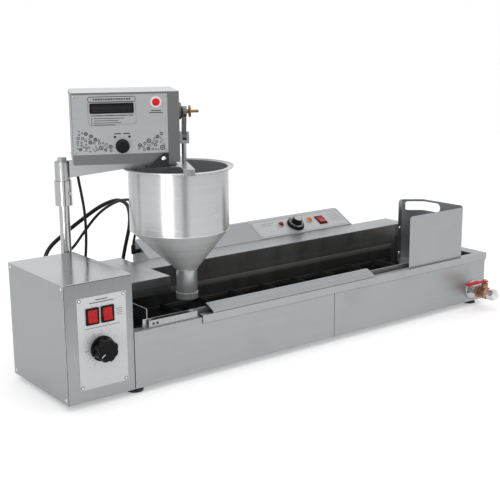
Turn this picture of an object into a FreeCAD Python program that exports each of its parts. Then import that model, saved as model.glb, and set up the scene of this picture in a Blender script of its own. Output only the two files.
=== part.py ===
import FreeCAD, Part
import math
import os
import Sketcher

# Donut fryer with a swivelling batter hopper, in millimetres, +Z up.
# The origin is the centre of the rest face of the front left foot. X runs along the fryer,
# Y to its back. Corner coordinates count from the fryer's front lower left corner.

SIZES = {
    # Sheet metal and fits
    "sheet": 1.2,
    "gap": 0.3,
    "running_fit": 0.05,
    "label_sheet": 0.8,
    # Fryer body
    "fryer_length": 1041,
    "fryer_depth": 356,
    "front_height": 115.5,
    "seam_at": 522.6,
    "lip_start": 161,
    "lip_height": 120,
    "lip_drop": 17,
    "lip_proud": 2.5,
    "rim_width": 15,
    "end_rim_width": 32,
    "rear_rim_height": 154,
    "rear_rim_start": 280,
    "rear_rim_drop": 38,
    "foot_height": 12,
    "foot_radius": 17,
    "foot_left": 12,
    "foot_right": 27,
    "foot_inset": 25,
    # Oil tank
    "tank_left": 8,
    "tank_wall": 1.5,
    "tank_floor": 18,
    "tank_bend": 9,
    "bearer_width": 30,
    # Conveyor
    "chain_height": 52,
    "drive_shaft_at": 70,
    "idler_from_end": 111,
    "front_chain_at": 34,
    "rear_chain_at": 247,
    "drive_chain_at": 9,
    "chain_plate": 1.2,
    "chain_depth": 8,
    "chain_pin_radius": 2,
    "sprocket_radius": 18,
    "sprocket_width": 3,
    "tooth_height": 3,
    "shaft_radius": 6,
    "bush_radius": 9,
    "bush_length": 5,
    "flight_height": 12,
    "rail_sheet": 1.5,
    "rail_start": 38,
    "rail_from_end": 81,
    "rail_hem": 4,
    "front_rail_at": 24,
    "front_rail_top": 128,
    "rear_rail_at": 255,
    "rear_rail_top": 110,
    "end_plate_front": 12,
    "end_plate_back": 190,
    "end_plate_ear": 9.5,
    "end_plate_ear_top": 134,
    "chute_length": 115,
    "chute_front": 6,
    "chute_back": 22,
    "chute_top": 130,
    # Heating element and thermostat probe
    "element_radius": 4,
    "element_bend": 12,
    "element_pitch": 90,
    "element_near_inset": 32,
    "element_far_inset": 35,
    "element_from_drive": 60,
    "element_end_turn": 15,
    "element_from_chain": 12,
    "capillary_offset": 25,
    "capillary_reach": 12,
    "element_lead_height": 95,
    "probe_radius": 3,
    "probe_length": 120,
    "probe_start": 420,
    "probe_height": 60,
    "capillary_radius": 1.5,
    # Sloped cover strip over the front rail
    "strip_start": 188,
    "strip_length": 460,
    "strip_front_top": 124,
    "strip_back_top": 135,
    # Deck behind the left end
    "deck_length": 211,
    "deck_front": 195,
    "deck_back": 413,
    "deck_front_drop": 34,
    "deck_drop": 15,
    "deck_tab": 32,
    "deck_tab_back": 300,
    # Drive box
    "box_width": 145,
    "box_depth": 235.6,
    "box_height": 234,
    "box_gap": 2,
    "lid_drop": 11,
    "box_label_left": 26,
    "box_label_bottom": 24,
    "box_label_width": 104,
    "box_label_height": 180,
    "switch_width": 25.5,
    "switch_height": 31,
    "switch_rim": 2,
    "switch_depth": 18,
    "left_switch_at": 57.4,
    "right_switch_at": 89.5,
    "switches_up": 166,
    "rocker_width": 19,
    "rocker_height": 24.4,
    "rocker_tilt": 6,
    "pivot_radius": 1.5,
    "pivot_reach": 0.4,
    "speed_knob_at": 75.4,
    "speed_knob_up": 99.8,
    "speed_knob_radius": 25,
    "speed_grip_radius": 22.5,
    "speed_knob_height": 25,
    "spindle_radius": 3,
    "motor_left": 95,
    "motor_width": 52,
    "gearbox_length": 44,
    "motor_radius": 23,
    "motor_length": 80,
    # Rear control box
    "control_start": 258,
    "control_from_end": 131,
    "control_bottom": 60,
    "slope_angle": 28,
    "slope_length": 72.5,
    "control_ridge": 12,
    "plate_length": 311,
    "plate_margin": 1.3,
    "red_lamp_in": 89,
    "amber_lamp_in": 188,
    "lamps_up": 42,
    "lamp_radius": 8,
    "thermostat_in": 133,
    "thermostat_up": 33,
    "thermostat_radius": 24,
    "thermostat_grip_radius": 13,
    "thermostat_height": 22,
    "rear_switch_in": 225,
    "rear_switch_up": 35,
    # Drain and ball valve
    "drain_from_end": 47,
    "drain_height": 30.7,
    "flange_radius": 24,
    "flange_thickness": 4,
    "pipe_radius": 9,
    "bore_radius": 6.5,
    "valve_start": 20,
    "valve_stem_at": 42,
    "valve_ball_radius": 15,
    "valve_hex": 27,
    "cap_hex": 25,
    "cap_length": 20,
    "stem_radius": 4,
    "stem_height": 33,
    "lever_length": 68,
    "lever_width": 12,
    "lever_sheet": 2.5,
    # Unloading tray
    "tray_sheet": 1.5,
    "tray_from_end": 274,
    "tray_front": 5,
    "tray_length": 187,
    "tray_corner": 21,
    "tray_side": 123,
    "tray_lean": 7,
    "tray_back_run": 43,
    "tray_back_rise": 36,
    "tray_flange": 12,
    "tray_top": 246,
    "tray_bottom": 85,
    "tray_rounding": 8,
    "slot_bottom": 217.7,
    "slot_height": 22.8,
    "drain_hole_radius": 8,
    # Post and head arm, angles in degrees
    "post_x": -9,
    "post_behind_box": 16.4,
    "post_radius": 11,
    "post_foot_radius": 15.5,
    "post_foot_height": 5,
    "collar_radius": 17.75,
    "collar_bottom": 332,
    "hub_bottom": 384,
    "hub_radius": 15.75,
    "hub_top": 422,
    "bolt_hex": 18,
    "bolt_head": 7,
    "washer_radius": 14,
    "saddle_width": 40,
    "saddle_height": 12,
    "head_yaw": 25.7,
    "arm_width": 26,
    "arm_wall": 2.5,
    "arm_start": 14.2,
    "arm_root_bottom": 390.5,
    "arm_taper_end": 126,
    # Head case
    "case_start": 21.6,
    "case_length": 213.8,
    "case_depth": 143.4,
    "case_bottom": 423.3,
    "case_height": 142.6,
    "head_label_left": 1,
    "head_label_width": 189,
    "head_label_bottom": 20.4,
    "head_label_height": 118.2,
    "display_left": 37,
    "display_width": 84,
    "display_bottom": 103,
    "display_height": 17.2,
    "display_proud": 1,
    "button_at": 167,
    "button_up": 122,
    "button_radius": 7,
    "button_proud": 6,
    "dose_knob_at": 98,
    "dose_knob_up": 36,
    "dose_knob_radius": 14,
    "dose_knob_height": 15,
    "gusset_start": 143,
    "gusset_peak": 178,
    "gusset_end": 190,
    "gusset_drop": 9,
    "gusset_rise": 20,
    "gusset_sheet": 3,
    "gusset_fold": 6,
    "head_gland_radius": 7,
    "head_gland_drop": 12,
    "head_gland_in": 8.2,
    # Hopper, nozzle and its hanger
    "hopper_at": 240.6,
    "hopper_radius": 106,
    "hopper_wall": 1.5,
    "hopper_top": 404,
    "hopper_shoulder": 271.5,
    "rim_radius": 117,
    "plunger_reach": 18.2,
    "nozzle_radius": 22.75,
    "nozzle_wall": 1.5,
    "nozzle_top": 181,
    "nozzle_bottom": 117,
    "nozzle_ring": 13,
    "hanger_sheet": 1.5,
    "hanger_width": 24,
    "hanger_start": 234,
    "hanger_reach": 121,
    "hook_lip": 12,
    "hook_below_rim": 1.8,
    # Dosing drive
    "crank_above_case": 96.7,
    "crank_radius": 18,
    "crank_thickness": 13,
    "crank_throw": 14,
    "crank_pin_radius": 4,
    "crank_shaft_length": 22,
    "pin_clearance": 2.3,
    "link_length": 53,
    "link_thickness": 8.5,
    "link_eye": 4.5,
    "link_width": 13,
    "dial_radius": 12.5,
    "dial_thickness": 4,
    "dial_stem_radius": 3,
    "dial_stem_length": 17,
    "plunger_radius": 5,
    "piston_length": 25,
    "piston_bottom": 125,
    "fork_height": 24,
    "fork_width": 18,
    "fork_cheek": 5.5,
    # Cords
    "power_cord_radius": 4.5,
    "thin_cord_radius": 3,
    "box_gland_length": 12.4,
    "deck_gland_length": 15.8,
    "wall_gland_length": 14,
    "elbow_gland_length": 14.5,
}

TOOTH_COUNT = 12
FLIGHT_COUNT = 9
GRIP_LOBES = 8
DIAL_FLUTES = 12
ELEMENT_RUNS = 3

# Cord routes in corner coordinates, from the drive box or the head to the far gland
HEAD_CORD_ROUTE = [(38, 281, 411), (40.5, 280.5, 383), (47, 281, 348), (52.5, 280, 309),
                   (55, 281.5, 268), (53, 280.5, 230), (50, 282, 197), (49.5, 282, 171)]
POWER_CORD_ROUTE = [(-45, 248, 196), (-43, 292, 203), (-17, 325, 226), (29, 336, 251),
                    (76, 336, 278), (125, 340, 302), (174, 353, 309), (214, 380, 293),
                    (240, 410, 264), (251, 430, 226), (245, 440, 184), (236, 443, 142),
                    (226, 442, 90), (222, 412, 56), (220, 370, 54)]
SIGNAL_CORD_ROUTE = [(-77, 248, 180), (-71, 283, 184), (-43, 302, 192), (-7, 299, 205),
                     (26, 291, 226), (56, 292, 260), (98, 300, 296), (150, 318, 311),
                     (203, 350, 307), (239, 366, 290), (257, 384, 258), (257, 398, 232),
                     (247, 404, 206), (243.5, 405, 182)]

V = FreeCAD.Vector
doc = FreeCAD.newDocument("DonutMachine")
NODES = {}


class Size:
    """A number together with the sheet formula that it comes from."""

    def __init__(self, value, formula):
        self.value = float(value)
        self.formula = formula

    def __float__(self):
        return self.value

    def __add__(self, other):
        other = as_size(other)
        if other.formula == "0":
            return self
        if self.formula == "0":
            return other
        return Size(self.value + other.value, "(%s + %s)" % (self.formula, other.formula))

    def __sub__(self, other):
        other = as_size(other)
        if other.formula == "0":
            return self
        return Size(self.value - other.value, "(%s - %s)" % (self.formula, other.formula))

    def __mul__(self, other):
        other = as_size(other)
        for one, rest in ((self, other), (other, self)):
            if one.formula == "0":
                return one
            if one.formula == "1":
                return rest
        return Size(self.value * other.value, "(%s * %s)" % (self.formula, other.formula))

    def __truediv__(self, other):
        other = as_size(other)
        return Size(self.value / other.value, "(%s / %s)" % (self.formula, other.formula))

    def __radd__(self, other):
        return as_size(other) + self

    def __rsub__(self, other):
        return as_size(other) - self

    def __rmul__(self, other):
        return self * other

    def __neg__(self):
        return as_size(0) - self


def as_size(number):
    """Wrap a plain number as a Size."""
    if isinstance(number, Size):
        return number
    return Size(number, "%.7g" % number)


def cosine(angle):
    return Size(math.cos(math.radians(float(angle))), "cos(%s)" % angle.formula)


def sine(angle):
    return Size(math.sin(math.radians(float(angle))), "sin(%s)" % angle.formula)


class Sheet:
    """The spreadsheet of driving sizes, with each alias as an attribute."""

    def __init__(self, numbers):
        cells = doc.addObject("Spreadsheet::Sheet", "Sizes")
        for row, (alias, number) in enumerate(numbers.items(), start=1):
            cells.set("A%d" % row, alias)
            cells.set("B%d" % row, str(number))
            cells.setAlias("B%d" % row, alias)
            setattr(self, alias, Size(number, "Sizes." + alias))


S = Sheet(SIZES)
doc.recompute()


def bind(thing, prop, size):
    """Tie one property to its formula, where the size comes from the sheet."""
    if "Sizes." in as_size(size).formula:
        thing.setExpression(prop, size.formula)


class Frame:
    """A place on the machine: its origin, and its own x, y and z directions."""

    def __init__(self, origin, axes=((1, 0, 0), (0, 1, 0), (0, 0, 1))):
        self.origin = [as_size(part) for part in origin]
        self.axes = [[as_size(part) for part in axis] for axis in axes]

    def point(self, at):
        """Turn a point of this frame into machine coordinates."""
        return [self.origin[i] + at[0] * self.axes[0][i] + at[1] * self.axes[1][i]
                + at[2] * self.axes[2][i] for i in range(3)]

    def inner(self, at, axes):
        """Make a frame at a point of this one, with axes in machine directions."""
        return Frame(self.point(at), axes)

    def rotation(self):
        x, y, z = ([float(part) for part in axis] for axis in self.axes)
        return FreeCAD.Rotation(FreeCAD.Matrix(x[0], y[0], z[0], 0, x[1], y[1], z[1], 0,
                                               x[2], y[2], z[2], 0, 0, 0, 0, 1))

    def place(self, thing, at=(0, 0, 0), turn=FreeCAD.Rotation()):
        """Put a piece at a point of this frame, turned within it."""
        base = self.point(at)
        thing.Placement = FreeCAD.Placement(V(*[float(part) for part in base]),
                                            self.rotation() * turn)
        for letter, size in zip("xyz", base):
            bind(thing, "Placement.Base." + letter, size)
        return thing


TURNS = {
    "x": FreeCAD.Rotation(V(0, 1, 0), 90),
    "y": FreeCAD.Rotation(V(1, 0, 0), -90),
    "z": FreeCAD.Rotation(),
}

BACK_TO_UP = ((1, 0, 0), (0, 0, 1), (0, -1, 0))
LOCAL = Frame((0, 0, 0))
CORNER = Frame((-S.foot_left, -S.foot_inset, S.foot_height))
FRONT = CORNER.inner((0, 0, 0), BACK_TO_UP)
BOX_CORNER = CORNER.inner((-S.box_gap - S.box_width, 0, 0), LOCAL.axes)
BOX_FRONT = BOX_CORNER.inner((0, 0, 0), BACK_TO_UP)

# Places counted from the box, the right end of the fryer, the rear plate and the case
POST_Y = S.box_depth + S.post_behind_box
IDLER_AT = S.fryer_length - S.idler_from_end
RAIL_END = S.fryer_length - S.rail_from_end
DRAIN_AT = S.fryer_length - S.drain_from_end
TRAY_START = S.fryer_length - S.tray_from_end
CONTROL_END = S.fryer_length - S.control_from_end
PLATE_START = CONTROL_END - S.plate_length
RED_LAMP_AT = PLATE_START + S.red_lamp_in
THERMOSTAT_AT = PLATE_START + S.thermostat_in
AMBER_LAMP_AT = PLATE_START + S.amber_lamp_in
REAR_SWITCH_AT = PLATE_START + S.rear_switch_in
CRANK_UP = S.case_bottom + S.crank_above_case

SLOPE_COS = cosine(S.slope_angle)
SLOPE_SIN = sine(S.slope_angle)
CONTROL_FRONT = S.fryer_depth + S.gap
SLOPE_FOOT = S.rear_rim_height + 1
SLOPE_AXES = ((1, 0, 0), (0, SLOPE_COS, SLOPE_SIN), (0, -SLOPE_SIN, SLOPE_COS))
SLOPE = CORNER.inner((0, CONTROL_FRONT, SLOPE_FOOT), SLOPE_AXES)

YAW_COS = cosine(S.head_yaw)
YAW_SIN = sine(S.head_yaw)
HEAD_X = (YAW_COS, -YAW_SIN, 0)
HEAD_Y = (YAW_SIN, YAW_COS, 0)
HEAD_FRONT_OUT = (-YAW_SIN, -YAW_COS, 0)
HEAD = CORNER.inner((S.post_x, POST_Y, 0), (HEAD_X, HEAD_Y, (0, 0, 1)))
CASE_FRONT = HEAD.inner((S.case_start, -S.case_depth / 2, S.case_bottom),
                        (HEAD_X, (0, 0, 1), HEAD_FRONT_OUT))
CASE_END = S.case_start + S.case_length
CRANK = HEAD.inner((CASE_END, 0, CRANK_UP), (HEAD_Y, (0, 0, 1), HEAD_X))
PLUNGER_AT = CASE_END + S.plunger_reach

TANK_FRONT = S.rim_width + S.gap
TANK_BACK = S.rear_rim_start - S.gap
TANK_RIGHT = S.fryer_length - S.end_rim_width - S.gap
TANK_TOP = S.front_height - S.sheet - S.gap
TANK_INSIDE_FLOOR = S.tank_floor + S.tank_wall
HALF_SPROCKET = S.sprocket_width / 2
CHAIN_HALF = HALF_SPROCKET + S.gap + S.chain_plate
DECK_TOP = S.rear_rim_height + S.sheet
STRIP_BACK = S.front_rail_at + S.rail_hem


# Basic pieces

def box(at, size, frame=LOCAL):
    """A block from its lowest corner and its three side lengths."""
    block = doc.addObject("Part::Box", "Block")
    for prop, length in zip(("Length", "Width", "Height"), size):
        setattr(block, prop, float(length))
        bind(block, prop, length)
    return frame.place(block, at)


def rod(at, axis, length, radius, frame=LOCAL):
    """A round bar that starts at a point and runs along an axis."""
    bar = doc.addObject("Part::Cylinder", "Rod")
    bar.Radius = float(radius)
    bar.Height = float(length)
    bind(bar, "Radius", radius)
    bind(bar, "Height", length)
    return frame.place(bar, at, TURNS[axis])


def hex_bar(at, axis, length, across_flats, frame=LOCAL):
    """A hexagonal bar from its size across the flats."""
    bar = doc.addObject("Part::Prism", "HexBar")
    bar.Polygon = 6
    bar.Circumradius = float(across_flats) / math.sqrt(3)
    bar.Height = float(length)
    bind(bar, "Circumradius", across_flats / math.sqrt(3))
    bind(bar, "Height", length)
    return frame.place(bar, at, TURNS[axis])


def fuse(*pieces):
    joined = doc.addObject("Part::MultiFuse", "Joined")
    joined.Shapes = list(pieces)
    joined.Refine = True
    return joined


def cut(base, *tools):
    remains = doc.addObject("Part::Cut", "Cut")
    remains.Base = base
    remains.Tool = tools[0] if len(tools) == 1 else fuse(*tools)
    remains.Refine = True
    return remains


def together(*pieces):
    group = doc.addObject("Part::Compound", "Group")
    group.Links = list(pieces)
    return group


def new_body():
    return doc.addObject("PartDesign::Body", "Body")


def new_sketch(body, plane, offset=0):
    """A sketch on one of the body's own planes, moved along the plane's normal."""
    sketch = body.newObject("Sketcher::SketchObject", "Outline")
    support = next(part for part in body.Origin.OriginFeatures if part.Role == plane + "_Plane")
    sketch.AttachmentSupport = (support, [""])
    sketch.MapMode = "FlatFace"
    sketch.AttachmentOffset = FreeCAD.Placement(V(0, 0, float(offset)), FreeCAD.Rotation())
    bind(sketch, "AttachmentOffset.Base.z", offset)
    return sketch


def fix(sketch, kind, *references_and_size):
    """Add a dimension to the sketch and tie it to its formula."""
    *references, size = references_and_size
    index = sketch.addConstraint(Sketcher.Constraint(kind, *references, float(size)))
    if "Sizes." in as_size(size).formula:
        sketch.setExpression("Constraints[%d]" % index, size.formula)


def polygon(sketch, points):
    """Draw a closed outline whose corners are dimensioned from the sketch's origin."""
    count = len(points)
    first = sketch.GeometryCount
    corners = [V(float(x), float(y), 0) for x, y in points]
    for i in range(count):
        line = Part.LineSegment(corners[i], corners[(i + 1) % count])
        sketch.addGeometry(line, False)
    for i in range(count):
        following = first + (i + 1) % count
        sketch.addConstraint(Sketcher.Constraint("Coincident", first + i, 2, following, 1))
    for i, (x, y) in enumerate(points):
        fix(sketch, "DistanceX", -1, 1, first + i, 1, x)
        fix(sketch, "DistanceY", -1, 1, first + i, 1, y)


def circle(sketch, centre, radius):
    """Draw a circle with its radius and centre dimensioned."""
    middle = V(float(centre[0]), float(centre[1]), 0)
    index = sketch.addGeometry(Part.Circle(middle, V(0, 0, 1), float(radius)), False)
    fix(sketch, "Radius", index, radius)
    fix(sketch, "DistanceX", -1, 1, index, 3, centre[0])
    fix(sketch, "DistanceY", -1, 1, index, 3, centre[1])


def pad(body, sketch, length):
    feature = body.newObject("PartDesign::Pad", "Pad")
    feature.Profile = sketch
    feature.Length = float(length)
    bind(feature, "Length", length)
    sketch.Visibility = False
    return feature


def pocket(body, sketch, depth, along_normal=False):
    """Cut the outline to a depth, against the sketch's normal or along it."""
    feature = body.newObject("PartDesign::Pocket", "Pocket")
    feature.Profile = sketch
    feature.Length = float(depth)
    feature.Reversed = along_normal
    bind(feature, "Length", depth)
    return feature


def around(body, feature, sketch, count):
    """Repeat a feature in a full circle about the sketch's normal."""
    pattern = body.newObject("PartDesign::PolarPattern", "Round")
    pattern.Originals = [feature]
    pattern.Axis = (sketch, ["N_Axis"])
    pattern.Angle = 360
    pattern.Occurrences = count
    body.Tip = pattern
    return pattern


def prism(plane, points, start, length):
    """A body of constant outline, from start to start plus length across its plane."""
    body = new_body()
    offset = -(start + length) if plane == "XZ" else start
    sketch = new_sketch(body, plane, offset)
    polygon(sketch, points)
    pad(body, sketch, length)
    return body


def turned(points):
    """A body of revolution about its own z, from (radius, height) corners."""
    body = new_body()
    sketch = new_sketch(body, "XZ")
    polygon(sketch, points)
    spin = body.newObject("PartDesign::Revolution", "Turned")
    spin.Profile = sketch
    spin.ReferenceAxis = (sketch, ["V_Axis"])
    spin.Angle = 360
    return body


def edges_where(feature, test):
    """Name the feature's edges whose middle point and direction pass a test."""
    doc.recompute()
    names = []
    for number, edge in enumerate(feature.Shape.Edges, start=1):
        middle = edge.valueAt((edge.FirstParameter + edge.LastParameter) / 2)
        if edge.Curve.TypeId == "Part::GeomLine" and test(middle, edge.Curve.Direction):
            names.append("Edge%d" % number)
    return names


def round_edges(body, radius, test):
    """Fillet the straight edges of the body's last feature that pass a test."""
    base = body.Tip
    feature = body.newObject("PartDesign::Fillet", "Rounding")
    feature.Base = (base, edges_where(base, test))
    feature.Radius = float(radius)
    bind(feature, "Radius", radius)
    return feature


def near(one, other, reach=0.01):
    return abs(float(one) - float(other)) < reach


def tube_along(points, radius, bends):
    """A round tube of straight runs joined by tangent arcs, and its length."""
    corners = [V(*[float(part) for part in point]) for point in points]
    radius = float(radius)
    pieces = []
    length = 0
    here = corners[0]
    for before, corner, after, bend in zip(corners, corners[1:], corners[2:], bends):
        onward = (corner - before).normalize()
        ahead = (after - corner).normalize()
        turn = onward.getAngle(ahead)
        reach = bend * math.tan(turn / 2)
        start = corner - onward * reach
        inward = (ahead - onward).normalize()
        centre = corner + inward * (bend / math.cos(turn / 2))
        pieces.append(Part.makeCylinder(radius, start.distanceToPoint(here), here, onward))
        section = Part.Face(Part.Wire(Part.Circle(start, onward, radius).toShape()))
        pieces.append(section.revolve(centre, onward.cross(ahead), math.degrees(turn)))
        length += start.distanceToPoint(here) + bend * turn
        here = corner + ahead * reach
    last = corners[-1] - here
    pieces.append(Part.makeCylinder(radius, last.Length, here, last))
    return pieces[0].multiFuse(pieces[1:]).Solids[0], length + last.Length


def cord_bends(points):
    """The arc radius at each inner corner: as large as its two runs allow."""
    corners = [V(*[float(part) for part in point]) for point in points]
    radii = []
    for before, corner, after in zip(corners, corners[1:], corners[2:]):
        half_turn = (corner - before).getAngle(after - corner) / 2
        shorter = min(before.distanceToPoint(corner), corner.distanceToPoint(after))
        radii.append(0.45 * shorter / math.tan(half_turn))
    return radii


def node(name, thing, frame=None):
    """Name a finished sub-part and, where a frame is given, put it there."""
    if frame:
        frame.place(thing)
    thing.Label = name
    NODES[name] = thing
    return thing


# Fryer body

def body_pan():
    """Folded bottom, back and left walls, with the bearers under the oil tank."""
    length = S.fryer_length - S.sheet
    top = S.rear_rim_height - S.sheet
    outside = box((0, S.sheet, 0), (length, S.fryer_depth - S.sheet, top))
    inside = box((S.sheet, 0, S.sheet), (S.fryer_length, S.fryer_depth - S.sheet, top))
    step_up = S.front_height - S.sheet
    left_step = box((-S.gap, 0, step_up), (S.sheet + 2 * S.gap, S.rear_rim_start, top))
    return node("body_pan", fuse(cut(outside, inside, left_step, chain_passage(),
                                     *element_passages()), *tank_bearers()), CORNER)


def tank_bearers():
    """Three cross bars that carry the tank's floor."""
    top = S.tank_floor - S.sheet
    return [box((S.fryer_length * share - S.bearer_width / 2, 2 * S.sheet, S.sheet),
                (S.bearer_width, S.fryer_depth - 4 * S.sheet, top)) for share in (0.2, 0.5, 0.8)]


def chain_passage():
    """The cut-out through the facing walls where the drive chain runs."""
    reach = S.sprocket_radius + S.chain_depth
    return box((-S.box_gap - 2 * S.sheet, S.drive_chain_at - CHAIN_HALF - 1,
                S.chain_height - reach),
               (S.box_gap + 4 * S.sheet, 2 * CHAIN_HALF + 2, 2 * reach))


def element_passages():
    """Clearance holes along Y for both ends of the element and the capillary."""
    holes = [rod((at, TANK_BACK - 2 * S.tank_wall, S.element_lead_height), "y",
                 S.fryer_depth, S.element_radius + S.gap) for at in element_ends()]
    holes.append(rod((capillary_at(), TANK_BACK - 2 * S.tank_wall, S.element_lead_height), "y",
                     S.fryer_depth, S.capillary_radius + S.gap))
    return holes


def element_ends():
    return [S.control_start + S.element_near_inset, IDLER_AT - S.element_far_inset]


def capillary_at():
    return S.probe_start + S.probe_length + S.capillary_offset


def front_panel_left():
    """Left front panel: low beside the chute, stepped up behind the rim."""
    under_rim = S.lip_height - S.sheet
    wall = prism("XZ", [(0, 0), (S.seam_at, 0), (S.seam_at, under_rim), (S.lip_start, under_rim),
                        (S.lip_start, S.front_height), (0, S.front_height)], 0, S.sheet)
    flange = box((0, 0, S.front_height - S.sheet),
                 (S.lip_start, S.front_rail_at - S.gap, S.sheet))
    return node("front_panel_left", fuse(wall, flange), CORNER)


def front_panel_right():
    """Right front panel, with the hole for the drain pipe."""
    start = S.seam_at + S.gap
    wall = box((start, 0, 0), (S.fryer_length - start, S.sheet, S.lip_height - S.sheet))
    return node("front_panel_right", cut(wall, drain_hole()), CORNER)


def drain_hole():
    return rod((DRAIN_AT, -S.sheet, S.drain_height), "y", S.rim_width + 4 * S.sheet,
               S.pipe_radius + S.gap)


def right_end_panel():
    """Right end wall, stepped up to the rear rim."""
    low = S.lip_height - S.sheet
    high = S.rear_rim_height - S.sheet
    outline = [(S.sheet, 0), (S.fryer_depth, 0), (S.fryer_depth, high), (S.rear_rim_start, high),
               (S.rear_rim_start, low), (S.sheet, low)]
    wall = prism("YZ", outline, S.fryer_length - S.sheet, S.sheet)
    return node("right_end_panel", wall, CORNER)


def front_rim():
    """Rim along the front and round the right end: flat top, outer drop and inner drop."""
    top = S.lip_height
    low = top - S.lip_drop
    proud = S.lip_proud
    angle = [(-proud, low), (-proud, top), (S.rim_width, top), (S.rim_width, top - S.sheet),
             (S.sheet - proud, top - S.sheet), (S.sheet - proud, low)]
    front = prism("YZ", angle, S.lip_start, S.fryer_length + proud - S.lip_start)
    end_angle = [(S.fryer_length - y, z) for y, z in angle[:2]]
    end_start = S.fryer_length - S.end_rim_width
    end_angle += [(end_start, top), (end_start, top - S.sheet),
                  (S.fryer_length + proud - S.sheet, top - S.sheet),
                  (S.fryer_length + proud - S.sheet, low)]
    end = prism("XZ", end_angle, -proud, S.rear_rim_start + proud)
    inner_y = S.rim_width - S.sheet
    front_drop = box((S.lip_start, inner_y, low),
                     (end_start + S.sheet - S.lip_start, S.sheet, S.lip_drop))
    end_drop = box((end_start, inner_y, low),
                   (S.sheet, S.rear_rim_start - inner_y, S.lip_drop))
    return node("front_rim", fuse(front, end, front_drop, end_drop), CORNER)


def rear_rim():
    """Flat rear rim with a front drop behind the tank's upstand."""
    front = S.rear_rim_start
    top = box((0, front, S.rear_rim_height - S.sheet),
              (S.fryer_length, S.fryer_depth - front, S.sheet))
    drop = box((S.sheet, front, S.rear_rim_height - S.rear_rim_drop),
               (S.fryer_length - 2 * S.sheet, S.sheet, S.rear_rim_drop))
    return node("rear_rim", fuse(top, drop), CORNER)


def front_cover_strip():
    """Sloped strip that sheds drips from the front rail to the rim."""
    back = STRIP_BACK
    outline = [(0, S.lip_height), (0, S.strip_front_top), (S.front_rail_at, S.strip_back_top),
               (back, S.strip_back_top), (back, S.front_rail_top), (back - S.sheet, S.front_rail_top),
               (back - S.sheet, S.strip_back_top - S.sheet),
               (S.front_rail_at, S.strip_back_top - S.sheet), (S.sheet, S.strip_front_top - S.sheet),
               (S.sheet, S.lip_height)]
    strip = prism("YZ", outline, S.strip_start, S.strip_length)
    return node("front_cover_strip", strip, CORNER)


def feet():
    """Four levelling feet: a wide pad under a short stud."""
    pad_height = S.foot_height * 0.6
    stud = S.foot_radius * 0.4
    bevel = S.foot_radius * 0.15
    pieces = []
    for x in (S.foot_left, S.fryer_length - S.foot_right):
        for y in (S.foot_inset, S.fryer_depth - S.foot_inset):
            foot = turned([(0, 0), (S.foot_radius, 0), (S.foot_radius, pad_height / 2),
                           (S.foot_radius - bevel, pad_height), (stud, pad_height),
                           (stud, S.foot_height), (0, S.foot_height)])
            pieces.append(LOCAL.place(foot, (x, y, -S.foot_height)))
    return node("feet", together(*pieces), CORNER)


# Oil tank and what hangs in it

def oil_tank():
    """Deep-drawn tank: rounded shell, rear upstand, and holes for shaft, drain and leads."""
    outline = [(S.tank_left, TANK_FRONT), (TANK_RIGHT, TANK_FRONT), (TANK_RIGHT, TANK_BACK),
               (S.tank_left, TANK_BACK)]
    shell = prism("XY", outline, S.tank_floor, TANK_TOP - S.tank_floor)
    round_edges(shell, S.tank_bend, lambda middle, direction:
                near(abs(direction.z), 1) or near(middle.z, S.tank_floor))
    hollow(shell, lambda face: near(face.CenterOfMass.z, TANK_TOP), S.tank_wall)
    upstand_top = S.rear_rim_height - S.sheet - S.gap
    upstand = box((S.tank_left + S.tank_bend, TANK_BACK - S.tank_wall, TANK_TOP),
                  (TANK_RIGHT - S.tank_left - 2 * S.tank_bend, S.tank_wall,
                   upstand_top - TANK_TOP))
    shaft_hole = rod((S.drive_shaft_at, 0, S.chain_height), "y", S.front_rail_at, S.bush_radius)
    return node("oil_tank", cut(fuse(shell, upstand), shaft_hole, drain_hole(),
                                *element_passages()), CORNER)


def hollow(body, opens, wall):
    """Shell the body inwards, open at the faces that pass a test."""
    doc.recompute()
    base = body.Tip
    faces = ["Face%d" % number for number, face in enumerate(base.Shape.Faces, start=1)
             if opens(face)]
    shell = body.newObject("PartDesign::Thickness", "Shell")
    shell.Base = (base, faces)
    shell.Reversed = True
    shell.Value = float(wall)
    bind(shell, "Value", wall)
    return shell


def heating_element():
    """Tubular element: one rod bent into flat runs between the two chain strands."""
    near_end, far_end = element_ends()
    inside = S.control_bottom / 4
    outer_y = S.fryer_depth + inside
    riser_y = S.rear_rail_at + S.rail_sheet + 1.4 * S.element_radius
    left = S.drive_shaft_at + S.element_from_drive
    right = far_end - S.element_end_turn
    y = S.rear_chain_at - S.element_from_chain
    level = S.chain_height
    points = [(near_end, outer_y, S.element_lead_height), (near_end, riser_y,
              S.element_lead_height), (near_end, riser_y, level), (near_end, y, level)]
    x = right
    for _ in range(ELEMENT_RUNS - 1):
        points.append((x, y, level))
        y = y - S.element_pitch
        points.append((x, y, level))
        x = left if x is right else right
    points[-1] = (points[-2][0], y, level)
    points += [(far_end, y, level), (far_end, riser_y, level),
               (far_end, riser_y, S.element_lead_height), (far_end, outer_y,
               S.element_lead_height)]
    solid, _ = tube_along(points, S.element_radius, [float(S.element_bend)] * (len(points) - 2))
    element = doc.addObject("Part::Feature", "Element")
    element.Shape = solid
    return node("heating_element", element, CORNER)


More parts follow.
